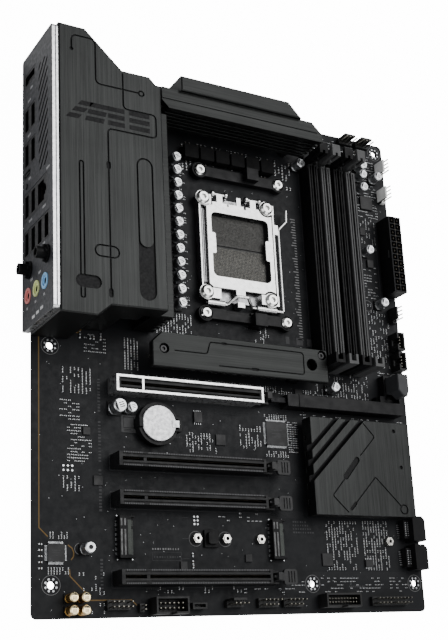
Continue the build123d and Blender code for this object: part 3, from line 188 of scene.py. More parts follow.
def moulded(name, color, roughness=0.5, specular=0.3, texture=2600, depth=0.00002, edge_wear_and_highlight=1.9):
    """Moulded plastic or epoxy: fine spark texture, faint cloudiness and paler edges, partly rubbed wear and
    partly a painted highlight.
    """
    look = Look(name, roughness, specular=specular)
    # edges painted paler in patches: partly wear, partly a painted highlight
    wear_and_highlight_mask = look.times(look.edges(0.00025), look.ranged(look.noise(900), 0.0, 0.8, 0.42, 0.62))
    cloud = look.mixed(look.ranged(look.noise(120), 0.0, 1.0), scaled(color, 0.82), scaled(color, 1.2))
    look.color(look.mixed(wear_and_highlight_mask, cloud, scaled(color, edge_wear_and_highlight)))
    look.roughness(look.ranged(look.noise(240), roughness - 0.08, roughness + 0.1))
    look.bump(look.noise(texture, detail=4.0), depth)
    return look.material


def brushed(name, dark, light, along, roughness=0.36, fine=5200.0):
    """Brushed metal: hairlines drawn out along one axis, soft broad streaks and bright edges, partly rubbed
    wear and partly a painted highlight.
    """
    look = Look(name, roughness, metallic=0.9)
    stretch = tuple(0.012 if axis == along else 1.0 for axis in "xyz")
    lines = look.noise(fine, stretch, 2.0)
    streaks = look.noise(fine / 4, stretch, 2.0)
    shade = look.mixed(look.ranged(lines, 0.0, 1.0, 0.32, 0.68), dark, light)
    shade = look.mixed(look.ranged(streaks, 0.0, 0.55, 0.42, 0.66), shade, scaled(light, 1.15))
    shade = look.mixed(look.ranged(look.noise(30), 0.0, 0.3, 0.45, 0.7), shade, scaled(dark, 0.8))
    # edges painted much lighter in patches: partly wear, partly a painted highlight
    wear_and_highlight_mask = look.times(look.edges(0.0003), look.ranged(look.noise(700), 0.25, 0.9, 0.4, 0.6))
    look.color(look.mixed(wear_and_highlight_mask, shade, scaled(light, 2.2)))
    look.roughness(look.ranged(lines, roughness - 0.07, roughness + 0.14))
    look.bump(lines, 0.000012)
    return look.material


def bare_metal(name, color, roughness=0.25, stain=0.75, scratch=4000.0, edge_wear_and_highlight_scale=1.15, metallic=1.0):
    """Plain or plated sheet and turned metal: handling haze, fine cross scratches and bright edges, partly
    wear and partly a painted highlight.
    """
    look = Look(name, roughness, metallic)
    haze = look.ranged(look.noise(260, detail=5.0), 0.0, 1.0, 0.4, 0.7)
    shade = look.mixed(haze, color, scaled(color, stain))
    # every edge painted lighter: partly wear, partly a painted highlight
    look.color(look.mixed(look.edges(0.0002), shade, scaled(color, edge_wear_and_highlight_scale)))
    look.roughness(look.ranged(look.noise(500), roughness - 0.08, roughness + 0.16))
    look.bump(look.noise(scratch, (1.0, 0.06, 1.0), 2.0), 0.000006)
    return look.material


def solder_mask(name, color):
    """Matt black solder mask: faint cloud, dust and the weave of the laminate just showing through."""
    look = Look(name, 0.5, specular=0.13)
    weave = look.noise(1500, (1.0, 0.25, 1.0), 2.0)
    cloud = look.mixed(look.ranged(look.noise(45), 0.0, 1.0), scaled(color, 0.85), scaled(color, 1.2))
    speck = look.ranged(look.cells(900), 0.35, 0.0, 0.02, 0.1)
    look.color(look.mixed(speck, cloud, scaled(color, 2.4)))
    look.roughness(look.ranged(look.noise(320), 0.4, 0.58))
    look.bump(weave, 0.00001)
    return look.material


def inked(name, color, wear=0.35):
    """Screen print or paint film with thin and worn places."""
    look = Look(name, 0.6, specular=0.2)
    look.color(look.mixed(look.ranged(look.noise(2200), 0.0, wear, 0.45, 0.7), color, scaled(color, 0.35)))
    look.roughness(look.ranged(look.noise(900), 0.5, 0.7))
    look.bump(look.noise(3000), 0.000006)
    return look.material


def contact_bed(name, color):
    """Dense grid of plated contacts in their moulded bed, with painted shade darkening its far half."""
    look = Look(name, 0.45, 0.35, 0.4)
    rows = look.noise(4200, (0.05, 1.0, 1.0), 1.0)
    columns = look.noise(3600, (1.0, 0.08, 1.0), 1.0)
    grid = look.times(look.ranged(rows, 0.2, 1.0, 0.35, 0.6), look.ranged(columns, 0.45, 1.0, 0.35, 0.6))
    shade = look.mixed(grid, scaled(color, 0.55), scaled(color, 1.35))
    fade_start, fade_end = at(0, FIELD_SPLIT - 6.0).y, at(0, FIELD_SPLIT + 3.0).y
    # painted shade: the bed is darkened towards and across its far half
    far = look.ranged(look.distance_along("Y"), 0.0, 0.62, fade_start, fade_end)
    look.color(look.mixed(far, shade, scaled(color, 0.3)))
    look.roughness(look.ranged(look.noise(800), 0.38, 0.6))
    look.bump(rows, 0.00003)
    return look.material


SLOT_LOOKS = {
    "board_laminate": solder_mask("solder_mask", (0.0084, 0.0089, 0.01)),
    "shield_steel": bare_metal("shield_paint", (0.028, 0.029, 0.034), 0.45, 0.8, 2600, 1.6, 0.1),
    "port_metal": bare_metal("port_shell", (0.05, 0.05, 0.052), 0.34, 0.7),
    "jack_plastic": moulded("jack_plastic", (0.008, 0.008, 0.008), 0.4),
    "connector_black": moulded("connector_black", (0.0042, 0.0042, 0.0046), 0.46, 0.13),
    "module_green": moulded("module_plate", (0.05, 0.05, 0.05), 0.4),
    "button_plastic": moulded("button_plastic", (0.026, 0.027, 0.029), 0.42),
    "brushed_dark": brushed("brushed_along_y", (0.0115, 0.0121, 0.0118), (0.0315, 0.0328, 0.0322), "y"),
    "choke_black": moulded("choke_black", (0.0032, 0.0032, 0.0034), 0.6, 0.1, 1500, 0.00005),
    "thermal_pad": moulded("thermal_pad", (0.14, 0.15, 0.16), 0.8, 0.2, 1200, 0.00006),
    "heatsink_dark": brushed("brushed_along_x", (0.0108, 0.0113, 0.0111), (0.0285, 0.0296, 0.029), "x"),
    "can_metal": bare_metal("can_metal", (0.6, 0.61, 0.62), 0.3, 0.85),
    "socket_plastic": moulded("socket_plastic", (0.009, 0.009, 0.009), 0.5),
    "contact_field": contact_bed("contact_bed", (0.04, 0.04, 0.037)),
    "stainless": bare_metal("stainless", (0.7, 0.7, 0.69), 0.22, 0.82),
    "screw_nickel": bare_metal("screw_nickel", (0.76, 0.76, 0.74), 0.16, 0.8),
    "bracket_plastic": moulded("bracket_plastic", (0.005, 0.005, 0.0056), 0.42, 0.16),
    "backplate_steel": bare_metal("backplate_steel", (0.42, 0.43, 0.45), 0.36, 0.7),
    "shroud_steel": bare_metal("shroud_steel", (0.8, 0.8, 0.8), 0.3, 0.92),
    "link_steel": bare_metal("link_steel", (0.02, 0.02, 0.021), 0.45),
    "post_brass": bare_metal("post_plating", (0.72, 0.7, 0.66), 0.22, 0.8),
    "battery_steel": bare_metal("battery_steel", (0.5, 0.5, 0.51), 0.36, 0.94, 1200),
    "chip_epoxy": moulded("chip_epoxy", (0.012, 0.012, 0.0125), 0.5, texture=3600),
    "header_plastic": moulded("header_plastic", (0.006, 0.006, 0.006), 0.45),
    "solder": bare_metal("solder", (0.7, 0.71, 0.72), 0.3, 0.8),
    "memory_black": moulded("memory_black", (0.003, 0.003, 0.0033), 0.48, 0.14),
    "memory_grey": moulded("memory_grey", (0.048, 0.0485, 0.049), 0.42),
    "slot_plastic": moulded("slot_plastic", (0.006, 0.006, 0.0064), 0.45, 0.22),
    "latch_plastic": moulded("latch_plastic", (0.013, 0.013, 0.0135), 0.45),
}
# gold and tin contacts deep inside slots, plugs and ports get a dark, dim colour: painted shade
SHADED_CONTACT = bare_metal("shaded_deep_contact", (0.05, 0.042, 0.03), 0.4)
PIN_METAL = bare_metal("pin_metal", (0.2, 0.19, 0.165), 0.3, 0.8)
NOTCH = inked("notch_grey", (0.15, 0.15, 0.155), 0.2)
CARD_GRIP = moulded("card_grip", (0.075, 0.084, 0.075), 0.5)
CARD_BAR = bare_metal("card_bar", (0.085, 0.085, 0.085), 0.4)
BRASS_TRACE = inked("gold_trace", (0.15, 0.09, 0.028), 0.3)
PRINT = inked("screen_print", (0.2, 0.2, 0.2), 0.5)
FAINT_PRINT = inked("faint_print", (0.045, 0.045, 0.047), 0.5)
TRACE = inked("trace_under_mask", (0.0125, 0.013, 0.0145), 0.25)
INLAY = inked("emblem_inlay", (0.0035, 0.0035, 0.004), 0.3)
# near black for the floors of grooves and the cut edges of vents: painted shade
GROOVE_SHADE = inked("groove_floor_shade", (0.0035, 0.0035, 0.004), 0.3)
RIM_SILVER = bare_metal("rim_silver", (0.75, 0.75, 0.76), 0.26, 0.9)
WHITE_PLASTIC = moulded("white_plastic", (0.86, 0.86, 0.83), 0.45, edge_wear_and_highlight=1.1)
CERAMIC = moulded("capacitor_ceramic", (0.07, 0.055, 0.042), 0.5, texture=5000)
DARK_BODY = moulded("resistor_body", (0.01, 0.01, 0.011), 0.45, texture=5000)
TIN = bare_metal("tinned_end", (0.5, 0.51, 0.52), 0.34, 0.75)
PINK, LIME, BLUE = (moulded(f"ring_{name}", color, 0.35) for name, color in (
    ("pink", (0.72, 0.24, 0.22)), ("lime", (0.58, 0.64, 0.28)), ("blue", (0.24, 0.48, 0.76))))
DARK_SCREW = moulded("dark_screw", (0.016, 0.016, 0.017), 0.3)
STORAGE_BRUSHED = brushed("storage_brushed", (0.0124, 0.013, 0.0127), (0.03, 0.0314, 0.0306), "x", 0.4, 4200)
GOLD_CAN = bare_metal("gold_can", (0.62, 0.36, 0.1), 0.26, 0.7)
# paler gold for the tops of the sound circuit's cans: painted highlight
GOLD_TOP_HIGHLIGHT = bare_metal("gold_top_highlight", (1.0, 0.82, 0.5), 0.3, 0.95)
FRAME_STEEL = bare_metal("frame_steel", (0.34, 0.34, 0.345), 0.3, 0.8)

for part in RECORD["subparts"]:
    mesh = NODES[part["node"]].data
    mesh.materials.clear()
    mesh.materials.append(SLOT_LOOKS[part["material_slot"]])


def repaint(node, looks, rule):
    """Gives each face of a CAD node the look that rule picks by number, from the face's box and normal."""
    mesh = NODES[node].data
    first = len(mesh.materials)
    for look in looks:
        mesh.materials.append(look)
    for face in mesh.polygons:
        points = [(mesh.vertices[v].co - ORIGIN) / MM for v in face.vertices]
        low = Vector([min(p[axis] for p in points) for axis in range(3)])
        high = Vector([max(p[axis] for p in points) for axis in range(3)])
        choice = rule(low, high, face.normal)
        if choice is not None:
            face.material_index = first + choice


def where(test):
    """Rule that picks the first look for every face that passes a test."""
    return lambda low, high, normal: 0 if test(low, high, normal) else None


def floors(bottom, top):
    """Rule for upward faces between two heights, such as the floors of engraved lines."""
    return where(lambda low, high, normal: bottom < low.z and high.z < top and normal.z > 0.9)


def within(low, high, box):
    """True if a face's box lies inside box, given as lowest and highest x, y and height."""
    return all(box[2 * axis] <= low[axis] and high[axis] <= box[2 * axis + 1] for axis in range(3))


def farthest(low, high, centre, axes):
    """How far a face's box reaches from a centre line, across two axes."""
    return math.hypot(*(max(abs(low[a] - c), abs(high[a] - c)) for a, c in zip(axes, centre)))


def broadest(low, high):
    """The larger of a face's extents across the board."""
    return max(high.x - low.x, high.y - low.y)


BLACK = SLOT_LOOKS["connector_black"]

# contact pins are slim and stand clear of their header's floor
PIN_WIDTH, HEADER_FLOOR = 0.8, 3.3
for header in ("fan_headers", "pin_headers", "boxed_headers"):
    repaint(header, [PIN_METAL],
            where(lambda low, high, normal: broadest(low, high) < PIN_WIDTH and high.z > HEADER_FLOOR))
# pins inside the power plugs take the dark contact colour: painted shade
PLUG_PIN_WIDTH = 1.0
for plug in ("main_power_connector", "cpu_power_connectors"):
    repaint(plug, [SHADED_CONTACT], where(lambda low, high, normal: broadest(low, high) < PLUG_PIN_WIDTH))

CAN_FOOT = 0.95  # top of the black base under a can
AUDIO_CANS = (16.0, 29.0, 0.0, 13.0, 0.0, 20.0)
repaint("vrm_capacitors", [BLACK], where(lambda low, high, normal: high.z < CAN_FOOT))


def can_faces(low, high, normal):
    """Bases are black, and the cans of the sound circuit are gold; their upward faces get a paler gold, a
    painted highlight.
    """
    if high.z < CAN_FOOT:
        return 0
    if not within(low, high, AUDIO_CANS):
        return None
    # upward faces get the paler gold: painted highlight
    return 2 if normal.z > 0.6 else 1


repaint("capacitors", [BLACK, GOLD_CAN, GOLD_TOP_HIGHLIGHT], can_faces)

SHIELD_LOW, SHIELD_HIGH = span("io_shield")
SHIELD_FACE = 0.85  # thickness of the shield's flat face, with some room
VENTS = (-20.0, 20.0, 228.0, 293.5, 21.5, 37.0)


def shield_faces(low, high, normal):
    """The flange is bare metal; the cut edges of the vents are painted near black, as painted shade."""
    if high.x > SHIELD_LOW.x + SHIELD_FACE:
        return 0
    # cut edges of the vents are painted near black: painted shade
    return 1 if within(low, high, VENTS) and abs(normal.x) < 0.5 else None


repaint("io_shield", [RIM_SILVER, GROOVE_SHADE], shield_faces)

FRAME_RAIL = 4.7  # faces of the socket frame that reach below this height are darker
repaint("socket_frame", [FRAME_STEEL], where(lambda low, high, normal: low.z < FRAME_RAIL))

JACKS_LOW, JACKS_HIGH = span("audio_jacks")
JACK_Y = (JACKS_LOW.y + JACKS_HIGH.y) / 2
JACK_HEIGHTS = (6.0, 18.4, 30.8)
JACK_RING, JACK_BORE, JACK_ACROSS = 1.7, 2.7, 9.0


def jack_faces(low, high, normal):
    """Rings in three colours; their bores and the block behind them stay black."""
    if low.x > JACKS_LOW.x + JACK_RING or high.z - low.z > JACK_ACROSS:
        return None
    middle = (low + high) / 2
    centre_z = min(JACK_HEIGHTS, key=lambda z: abs(z - middle.z))
    if farthest(low, high, (JACK_Y, centre_z), (1, 2)) < JACK_BORE:
        return None
    return JACK_HEIGHTS.index(centre_z)


repaint("audio_jacks", [PINK, LIME, BLUE], jack_faces)

CARD_POSTS = [(92.0, 40.7), (110.0, 40.7), (131.6, 40.7), (220.4, 40.7)]
POST_BORE = 1.5


def post_bores(low, high, normal):
    """True inside the bores of the posts that hold storage cards."""
    return any(farthest(low, high, post, (0, 1)) < POST_BORE for post in CARD_POSTS)


# the bores of the posts are painted black: painted shade
repaint("m2_posts", [BLACK], where(post_bores))

HEATSINK_SEAT = 7.0  # screw faces above this height are dark
repaint("heatsink_screws", [DARK_SCREW], where(lambda low, high, normal: low.z > HEATSINK_SEAT))
# upward faces between these heights, the floors of grooves and recesses, are painted near black: painted
# shade
GROOVE_HEIGHTS = {"io_cover": (42.5, 42.9), "m2_heatsink": (14.0, 15.2), "chipset_heatsink": (5.5, 12.2)}
for node, (bottom, top) in GROOVE_HEIGHTS.items():
    repaint(node, [GROOVE_SHADE], floors(bottom, top))
NODES["m2_heatsink"].data.materials[0] = STORAGE_BRUSHED

CARD_RUBBER_Y = 50.0  # soft pads below this y are black rubber, not thermal pads
repaint("soft_pads", [BLACK], where(lambda low, high, normal: high.y < CARD_RUBBER_Y))

WHITE_HEADERS = (236.0, 242.5, 261.0, 292.0, 0.0, 9.5)
WHITE_FACE = 1.3  # pins' faces are smaller than this, x and y added
repaint("fan_headers", [WHITE_PLASTIC],
        where(lambda low, high, normal: within(low, high, WHITE_HEADERS)
              and high.x - low.x + high.y - low.y > WHITE_FACE))


# --- building -------------------------------------------------------------------------------------
class Piece:
    """Many small solids gathered into one mesh, laid out in board millimetres."""

    def __init__(self):
        self.points, self.faces, self.kinds = [], [], []

    def prism(self, outline, low, high, kind=0):
        """Upright prism over an outline of (x, y) points going round anticlockwise."""
        start, count = len(self.points), len(outline)
        self.points += [at(x, y, low) for x, y in outline] + [at(x, y, high) for x, y in outline]
        faces = [[start + n, start + (n + 1) % count, start + count + (n + 1) % count, start + count + n]
                 for n in range(count)]
        faces.append([start + count + n for n in range(count)])
        faces.append([start + n for n in reversed(range(count))])
        self.faces += faces
        self.kinds += [kind] * len(faces)

    def box(self, x, y, z, kind=0):
        """Block between two x, two y and two heights."""
        self.prism([(x[0], y[0]), (x[1], y[0]), (x[1], y[1]), (x[0], y[1])], z[0], z[1], kind)

    def turned(self, x, y, length, width, turn, z, kind=0):
        """Block centred on a place and turned about it, in radians."""
        c, s = math.cos(turn), math.sin(turn)
        corners = [(-1, -1), (1, -1), (1, 1), (-1, 1)]
        self.prism([(x + c * i * length / 2 - s * j * width / 2, y + s * i * length / 2 + c * j * width / 2)
                    for i, j in corners], z[0], z[1], kind)

    def disc(self, x, y, r, z, kind=0, sides=24):
        """Upright cylinder between two heights."""
        self.prism([(x + r * math.cos(2 * math.pi * n / sides), y + r * math.sin(2 * math.pi * n / sides))
                    for n in range(sides)], z[0], z[1], kind)

    def ring(self, x, y, inner, outer, z, kind=0, start=0.0, sweep=360.0, steps=24):
        """Flat ring or part of one, as a row of wedges."""
        for n in range(steps):
            a = math.radians(start + sweep * n / steps)
            b = math.radians(start + sweep * (n + 1) / steps)
            self.prism([(x + inner * math.cos(a), y + inner * math.sin(a)),
                        (x + outer * math.cos(a), y + outer * math.sin(a)),
                        (x + outer * math.cos(b), y + outer * math.sin(b)),
                        (x + inner * math.cos(b), y + inner * math.sin(b))], z[0], z[1], kind)

    def ribbon(self, route, width, z, kind=0):
        """Flat strip that follows a route of (x, y) points with mitred corners."""
        sides = [[], []]
        for n, point in enumerate(route):
            before = Vector(route[n]) - Vector(route[n - 1]) if n else None
            after = Vector(route[n + 1]) - Vector(point) if n + 1 < len(route) else None
            before, after = before or after, after or before
            a, b = before.normalized(), after.normalized()
            across = Vector((-a.y - b.y, a.x + b.x)).normalized()
            reach = width / 2 / max(0.3, across.dot(Vector((-a.y, a.x))))
            sides[0].append((point[0] - across.x * reach, point[1] - across.y * reach))
            sides[1].append((point[0] + across.x * reach, point[1] + across.y * reach))
        for n in range(len(route) - 1):
            self.prism([sides[0][n], sides[0][n + 1], sides[1][n + 1], sides[1][n]], z[0], z[1], kind)

    def finish(self, name, looks, slot, body="board"):
        """Makes one mesh of all the solids, gives each face its look and fixes the piece to a body."""
        mesh = bpy.data.meshes.new(name)
        mesh.from_pydata([tuple(p) for p in self.points], [], self.faces)
        for look in looks:
            mesh.materials.append(look)
        for face, kind in zip(mesh.polygons, self.kinds):
            face.material_index = kind
        mesh.update()
        piece = bpy.data.objects.new(name, mesh)
        bpy.context.scene.collection.objects.link(piece)
        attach(piece, body)


def above_board():
    """Everything on the board as one search tree, to keep small parts out of it."""
    points, faces = [], []
    for name, node in NODES.items():
        if name == "pcb":
            continue
        start = len(points)
        points += [v.co for v in node.data.vertices]
        faces += [[start + v for v in f.vertices] for f in node.data.polygons]
    return BVHTree.FromPolygons(points, faces)


TREE = above_board()
TAKEN = []  # centre and reach of every small part placed so far
# mounting holes
HOLES = [(x, y) for x in (10.16, 165.10, 237.49) for y in (16.51, 140.97)]
HOLES += [(x, 298.45) for x in (33.02, 165.10, 237.49)]
FREE_X, FREE_Y = (1.0, 242.8), (1.0, 303.8)  # small parts and vias keep off the board's edges
HOLE_CLEARANCE = 5.4
RAY_TOP, RAY_LENGTH = 60.0, 0.0605  # from above everything to just inside the board


def is_free(x, y, reach):
    """True if nothing stands on or over the board within reach of a place, and no small part is there yet."""
    if not (FREE_X[0] < x < FREE_X[1] and FREE_Y[0] < y < FREE_Y[1]):
        return False
    if any(math.hypot(x - a, y - b) < HOLE_CLEARANCE + reach for a, b in HOLES):
        return False
    if any(abs(x - a) < reach + r and abs(y - b) < reach + r for a, b, r in TAKEN):
        return False
    down = Vector((0, 0, -1))
    for i, j in ((0, 0), (1, 1), (1, -1), (-1, 1), (-1, -1)):
        start = at(x + i * reach, y + j * reach, RAY_TOP)
        if TREE.ray_cast(start, down, RAY_LENGTH)[0] is not None:
            return False
    return True


# --- print, pads and traces on the board ----------------------------------------------------------
TOP_FILM = (0.0, FILM)
UNDER_FILM = (UNDERSIDE - FILM, UNDERSIDE)

HOLE_PADS, HOLE_PAD_RING, HOLE_PAD_RADIUS = 8, 3.1, 0.62
OPEN_PAD_RADIUS = 0.6
# centre, columns, rows and pitch of each block of open pads
PAD_BLOCKS = [(92.6, 50.6, 2, 3, 2.0), (19.6, 76.0, 3, 2, 2.4), (108.0, 62.0, 1, 2, 2.0)]

pads = Piece()
for x, y in HOLES:
    for n in range(HOLE_PADS):
        turn = math.radians(360 / HOLE_PADS * (n + 0.5))
        pad_x, pad_y = x + HOLE_PAD_RING * math.cos(turn), y + HOLE_PAD_RING * math.sin(turn)
        for film in (TOP_FILM, UNDER_FILM):
            pads.disc(pad_x, pad_y, HOLE_PAD_RADIUS, film, sides=10)
for x, y, columns, rows, pitch in PAD_BLOCKS:
    for i in range(columns):
        for j in range(rows):
            pad_x, pad_y = x + (i - (columns - 1) / 2) * pitch, y + (j - (rows - 1) / 2) * pitch
            pads.disc(pad_x, pad_y, OPEN_PAD_RADIUS, TOP_FILM, sides=12)
pads.finish("solder_pads", [TIN], "solder")

dice = random.Random(20)
prints = Piece()
BRIGHT, FAINT = 0, 1  # numbers of the two looks of print
OUTLINE_WIDTH = 0.16
for x, y in HOLES:
    for film in (TOP_FILM, UNDER_FILM):
        prints.ring(x, y, 4.75, 4.95, film)


def dashes(x, y, count, pitch, height, upright=False, kind=FAINT):
    """A row of short plain marks of several widths, where a board carries its printed captions."""
    for n in range(count):
        along = n * pitch
        mark = pitch * dice.choice((0.35, 0.5, 0.65))
        if upright:
            prints.box((x, x + height), (y + along, y + along + mark), TOP_FILM, kind)
        else:
            prints.box((x + along, x + along + mark), (y, y + height), TOP_FILM, kind)


def outlined(x, y):
    """Thin faint outline between two x and two y."""
    corners = [(x[0], y[0]), (x[1], y[0]), (x[1], y[1]), (x[0], y[1])]
    prints.ribbon(corners + corners[:1], OUTLINE_WIDTH, TOP_FILM, FAINT)


# captions that run along the slots' ends, as start and count, and small ones here and there
for y_start, count in ((107.0, 11), (80.0, 13), (54.0, 13), (11.0, 11)):
    dashes(36.6, y_start, count, 1.75, 1.5, upright=True)
CAPTIONS = [(100.2, 60.6), (64.0, 79.0), (62.0, 58.6), (78.0, 128.2), (75.0, 95.6), (62.0, 14.0),
            (190.0, 14.4)]
for x, y in CAPTIONS:
    dashes(x, y, 9, 1.3, 0.9)
outlined((66.0, 83.0), (29.0, 33.4))
dashes(67.0, 30.4, 10, 1.5, 0.9)
dashes(66.0, 34.6, 11, 1.5, 0.9, kind=BRIGHT)
for row in range(4):
    dashes(154.4, 44.8 + 2.0 * row, 9 - row, 1.6, 0.9)
for row in range(3):
    dashes(130.0 + 2 * row, 163.5 + 2.2 * row, 7, 1.5, 0.9)

# scale of ticks along the memory side, in place of a printed name, and three bars at its end
TICK_COUNT, TICK_X, TICK_Y, TICK_PITCH, LONG_TICK = 46, 170.6, 161.0, 1.74, 3.6
for n in range(TICK_COUNT):
    reach = LONG_TICK if n % 5 == 0 else dice.choice((1.6, 2.4, 2.9))
    y = TICK_Y + TICK_PITCH * n
    prints.box((TICK_X - reach, TICK_X), (y, y + 0.6), TOP_FILM, BRIGHT)
for n, width in enumerate((2.6, 4.6, 6.4)):
    prints.box((158.0 + 7.6 * n, 158.0 + 7.6 * n + width), (157.6, 162.2), TOP_FILM, FAINT)

# outlines of sockets and slots
OUTLINED = ("memory_slot_1", "memory_slot_4", "pcie_slot_2", "pcie_slot_3", "pcie_slot_4",
            "main_power_connector")
OUTLINE_GAP = 0.7
for node in OUTLINED:
    low, high = span(node)
    outlined((low.x - OUTLINE_GAP, high.x + OUTLINE_GAP), (low.y - OUTLINE_GAP, high.y + OUTLINE_GAP))

# card lengths, rings round two posts, round the sound circuit's can and beside the memory
for y in (20.0, 30.0, 40.7, 52.0):
    prints.box((84.0, 88.0), (y - 0.1, y + 0.1), TOP_FILM, FAINT)
for x, y in CARD_POSTS[:2]:
    prints.ring(x, y, 3.9, 4.1, TOP_FILM)
prints.ring(25.6, 34.6, 2.7, 2.95, TOP_FILM, start=90, sweep=180, steps=12)
prints.ring(221.4, 189.4, 3.4, 3.65, TOP_FILM)
prints.finish("screen_print", [PRINT, FAINT_PRINT], "board_laminate")

GUARD_WIDTH = 0.6
GUARD_ROUTES = [
    [(4.0, 148.9), (3.95, 45.0), (8.6, 40.5)],
    [(19.2, 36.5), (21.4, 34.9), (22.3, 32.7), (22.1, 30.6), (20.8, 29.0)],
    [(19.9, 24.3), (20.2, 20.9), (28.5, 12.6)],
    [(30.9, 8.9), (53.4, 8.9), (56.3, 6.2)],
    [(13.2, 156.0), (15.4, 151.4), (19.0, 149.6), (26.0, 149.8), (28.4, 152.4), (28.4, 158.0)],
]
gold = Piece()
for route in GUARD_ROUTES:
    gold.ribbon(route, GUARD_WIDTH, TOP_FILM)
gold.finish("audio_guard_trace", [BRASS_TRACE], "board_laminate")

traces = Piece()
TRACK_SHARE = 0.42  # a track's share of its pitch
TRACK_FILM = (0.0, 0.018)


def bundle(route, count, pitch):
    """Parallel tracks, each one pitch further to the side than the last."""
    for n in range(count):
        shift = (n - count / 2) * pitch
        points = []
        for k, (x, y) in enumerate(route):
            a = Vector(route[min(k + 1, len(route) - 1)]) - Vector(route[max(k - 1, 0)])
            a.normalize()
            points.append((x - a.y * shift, y + a.x * shift))
        traces.ribbon(points, pitch * TRACK_SHARE, TRACK_FILM)


for start in range(5):
    y = 186.0 + 12.4 * start
    bundle([(151.0, y), (157.0, y), (163.0, y + 5.0), (176.0, y + 5.0)], 9, 0.62)
for start in range(7):
    x = 68.0 + 11.6 * start
    bundle([(x + 6.0, 166.0), (x + 6.0, 162.0), (x, 155.0), (x, 151.5)], 9, 0.66)
for y in (70.4, 50.5, 90.8, 111.0):
    bundle([(40.0, y), (96.0, y), (101.0, y + 2.6), (134.0, y + 2.6), (140.0, y + 5.0), (162.0, y + 5.0)],
           8, 0.5)
bundle([(30.0, 60.0), (30.0, 100.0), (34.0, 106.0), (34.0, 136.0)], 10, 0.55)
bundle([(12.0, 60.0), (12.0, 120.0)], 6, 0.6)
bundle([(60.0, 15.2), (160.0, 15.2), (166.0, 21.0), (232.0, 21.0)], 8, 0.6)
bundle([(222.0, 160.0), (222.0, 196.0), (219.0, 202.0), (219.0, 246.0)], 7, 0.7)
bundle([(186.0, 128.0), (186.0, 134.0), (196.0, 141.0)], 8, 0.6)
traces.finish("tracks_under_mask", [TRACE], "board_laminate")

vias = Piece()
VIA_TRIES, VIA_RADIUS, VIA_ROOM = 500, 0.16, 0.5
for _ in range(VIA_TRIES):
    x, y = dice.uniform(4, 240), dice.uniform(4, 300)
    if is_free(x, y, VIA_ROOM):
        vias.disc(x, y, VIA_RADIUS, (0.0, 0.02), sides=8)
vias.finish("vias", [TIN], "solder")

# --- small surface parts --------------------------------------------------------------------------
# length, width and height
SIZES = {"small": (1.0, 0.5, 0.4), "medium": (1.6, 0.8, 0.6)}
TINNED_SHARE = 0.24  # share of the length that each tinned end takes
SOLDER_REACH = 0.1  # how far the solder's middle is past the end
CERAMIC_KIND, RESISTOR_KIND, TIN_KIND = 0, 1, 2
CERAMIC_CHANCE = 0.55
small_parts = Piece()


def small_part(x, y, size, along_x, kind):
    """Ceramic capacitor or resistor: body between two tinned ends, on its solder."""
    length, width, height = SIZES[size]
    if not is_free(x, y, length / 2 + SOLDER_REACH):
        return
    TAKEN.append((x, y, length / 2))
    turn = 0.0 if along_x else math.pi / 2
    cap = length * TINNED_SHARE

    def end_block(shift, block_length, block_width, block_height):
        """Tinned block whose middle is shifted along the part."""
        block_x, block_y = (x + shift, y) if along_x else (x, y + shift)
        small_parts.turned(block_x, block_y, block_length, block_width, turn, (0.0, block_height), TIN_KIND)

    small_parts.turned(x, y, length - 2 * cap, width * 0.96, turn, (0.02, height * 0.97), kind)
    for side in (-1, 1):
        end_block(side * (length - cap) / 2, cap, width, height)
        end_block(side * (length / 2 + SOLDER_REACH), 0.3, width * 1.05, height * 0.3)


def cluster(x, y, pitch, size, along_x, fill):
    """Rows and columns of small parts between two x and two y, with places left out."""
    columns = max(1, int((x[1] - x[0]) / pitch[0]))
    rows = max(1, int((y[1] - y[0]) / pitch[1]))
    for i in range(columns):
        for j in range(rows):
            if dice.random() > fill:
                continue
            kind = CERAMIC_KIND if dice.random() < CERAMIC_CHANCE else RESISTOR_KIND
            small_part(x[0] + (i + 0.5) * pitch[0], y[0] + (j + 0.5) * pitch[1], size, along_x, kind)


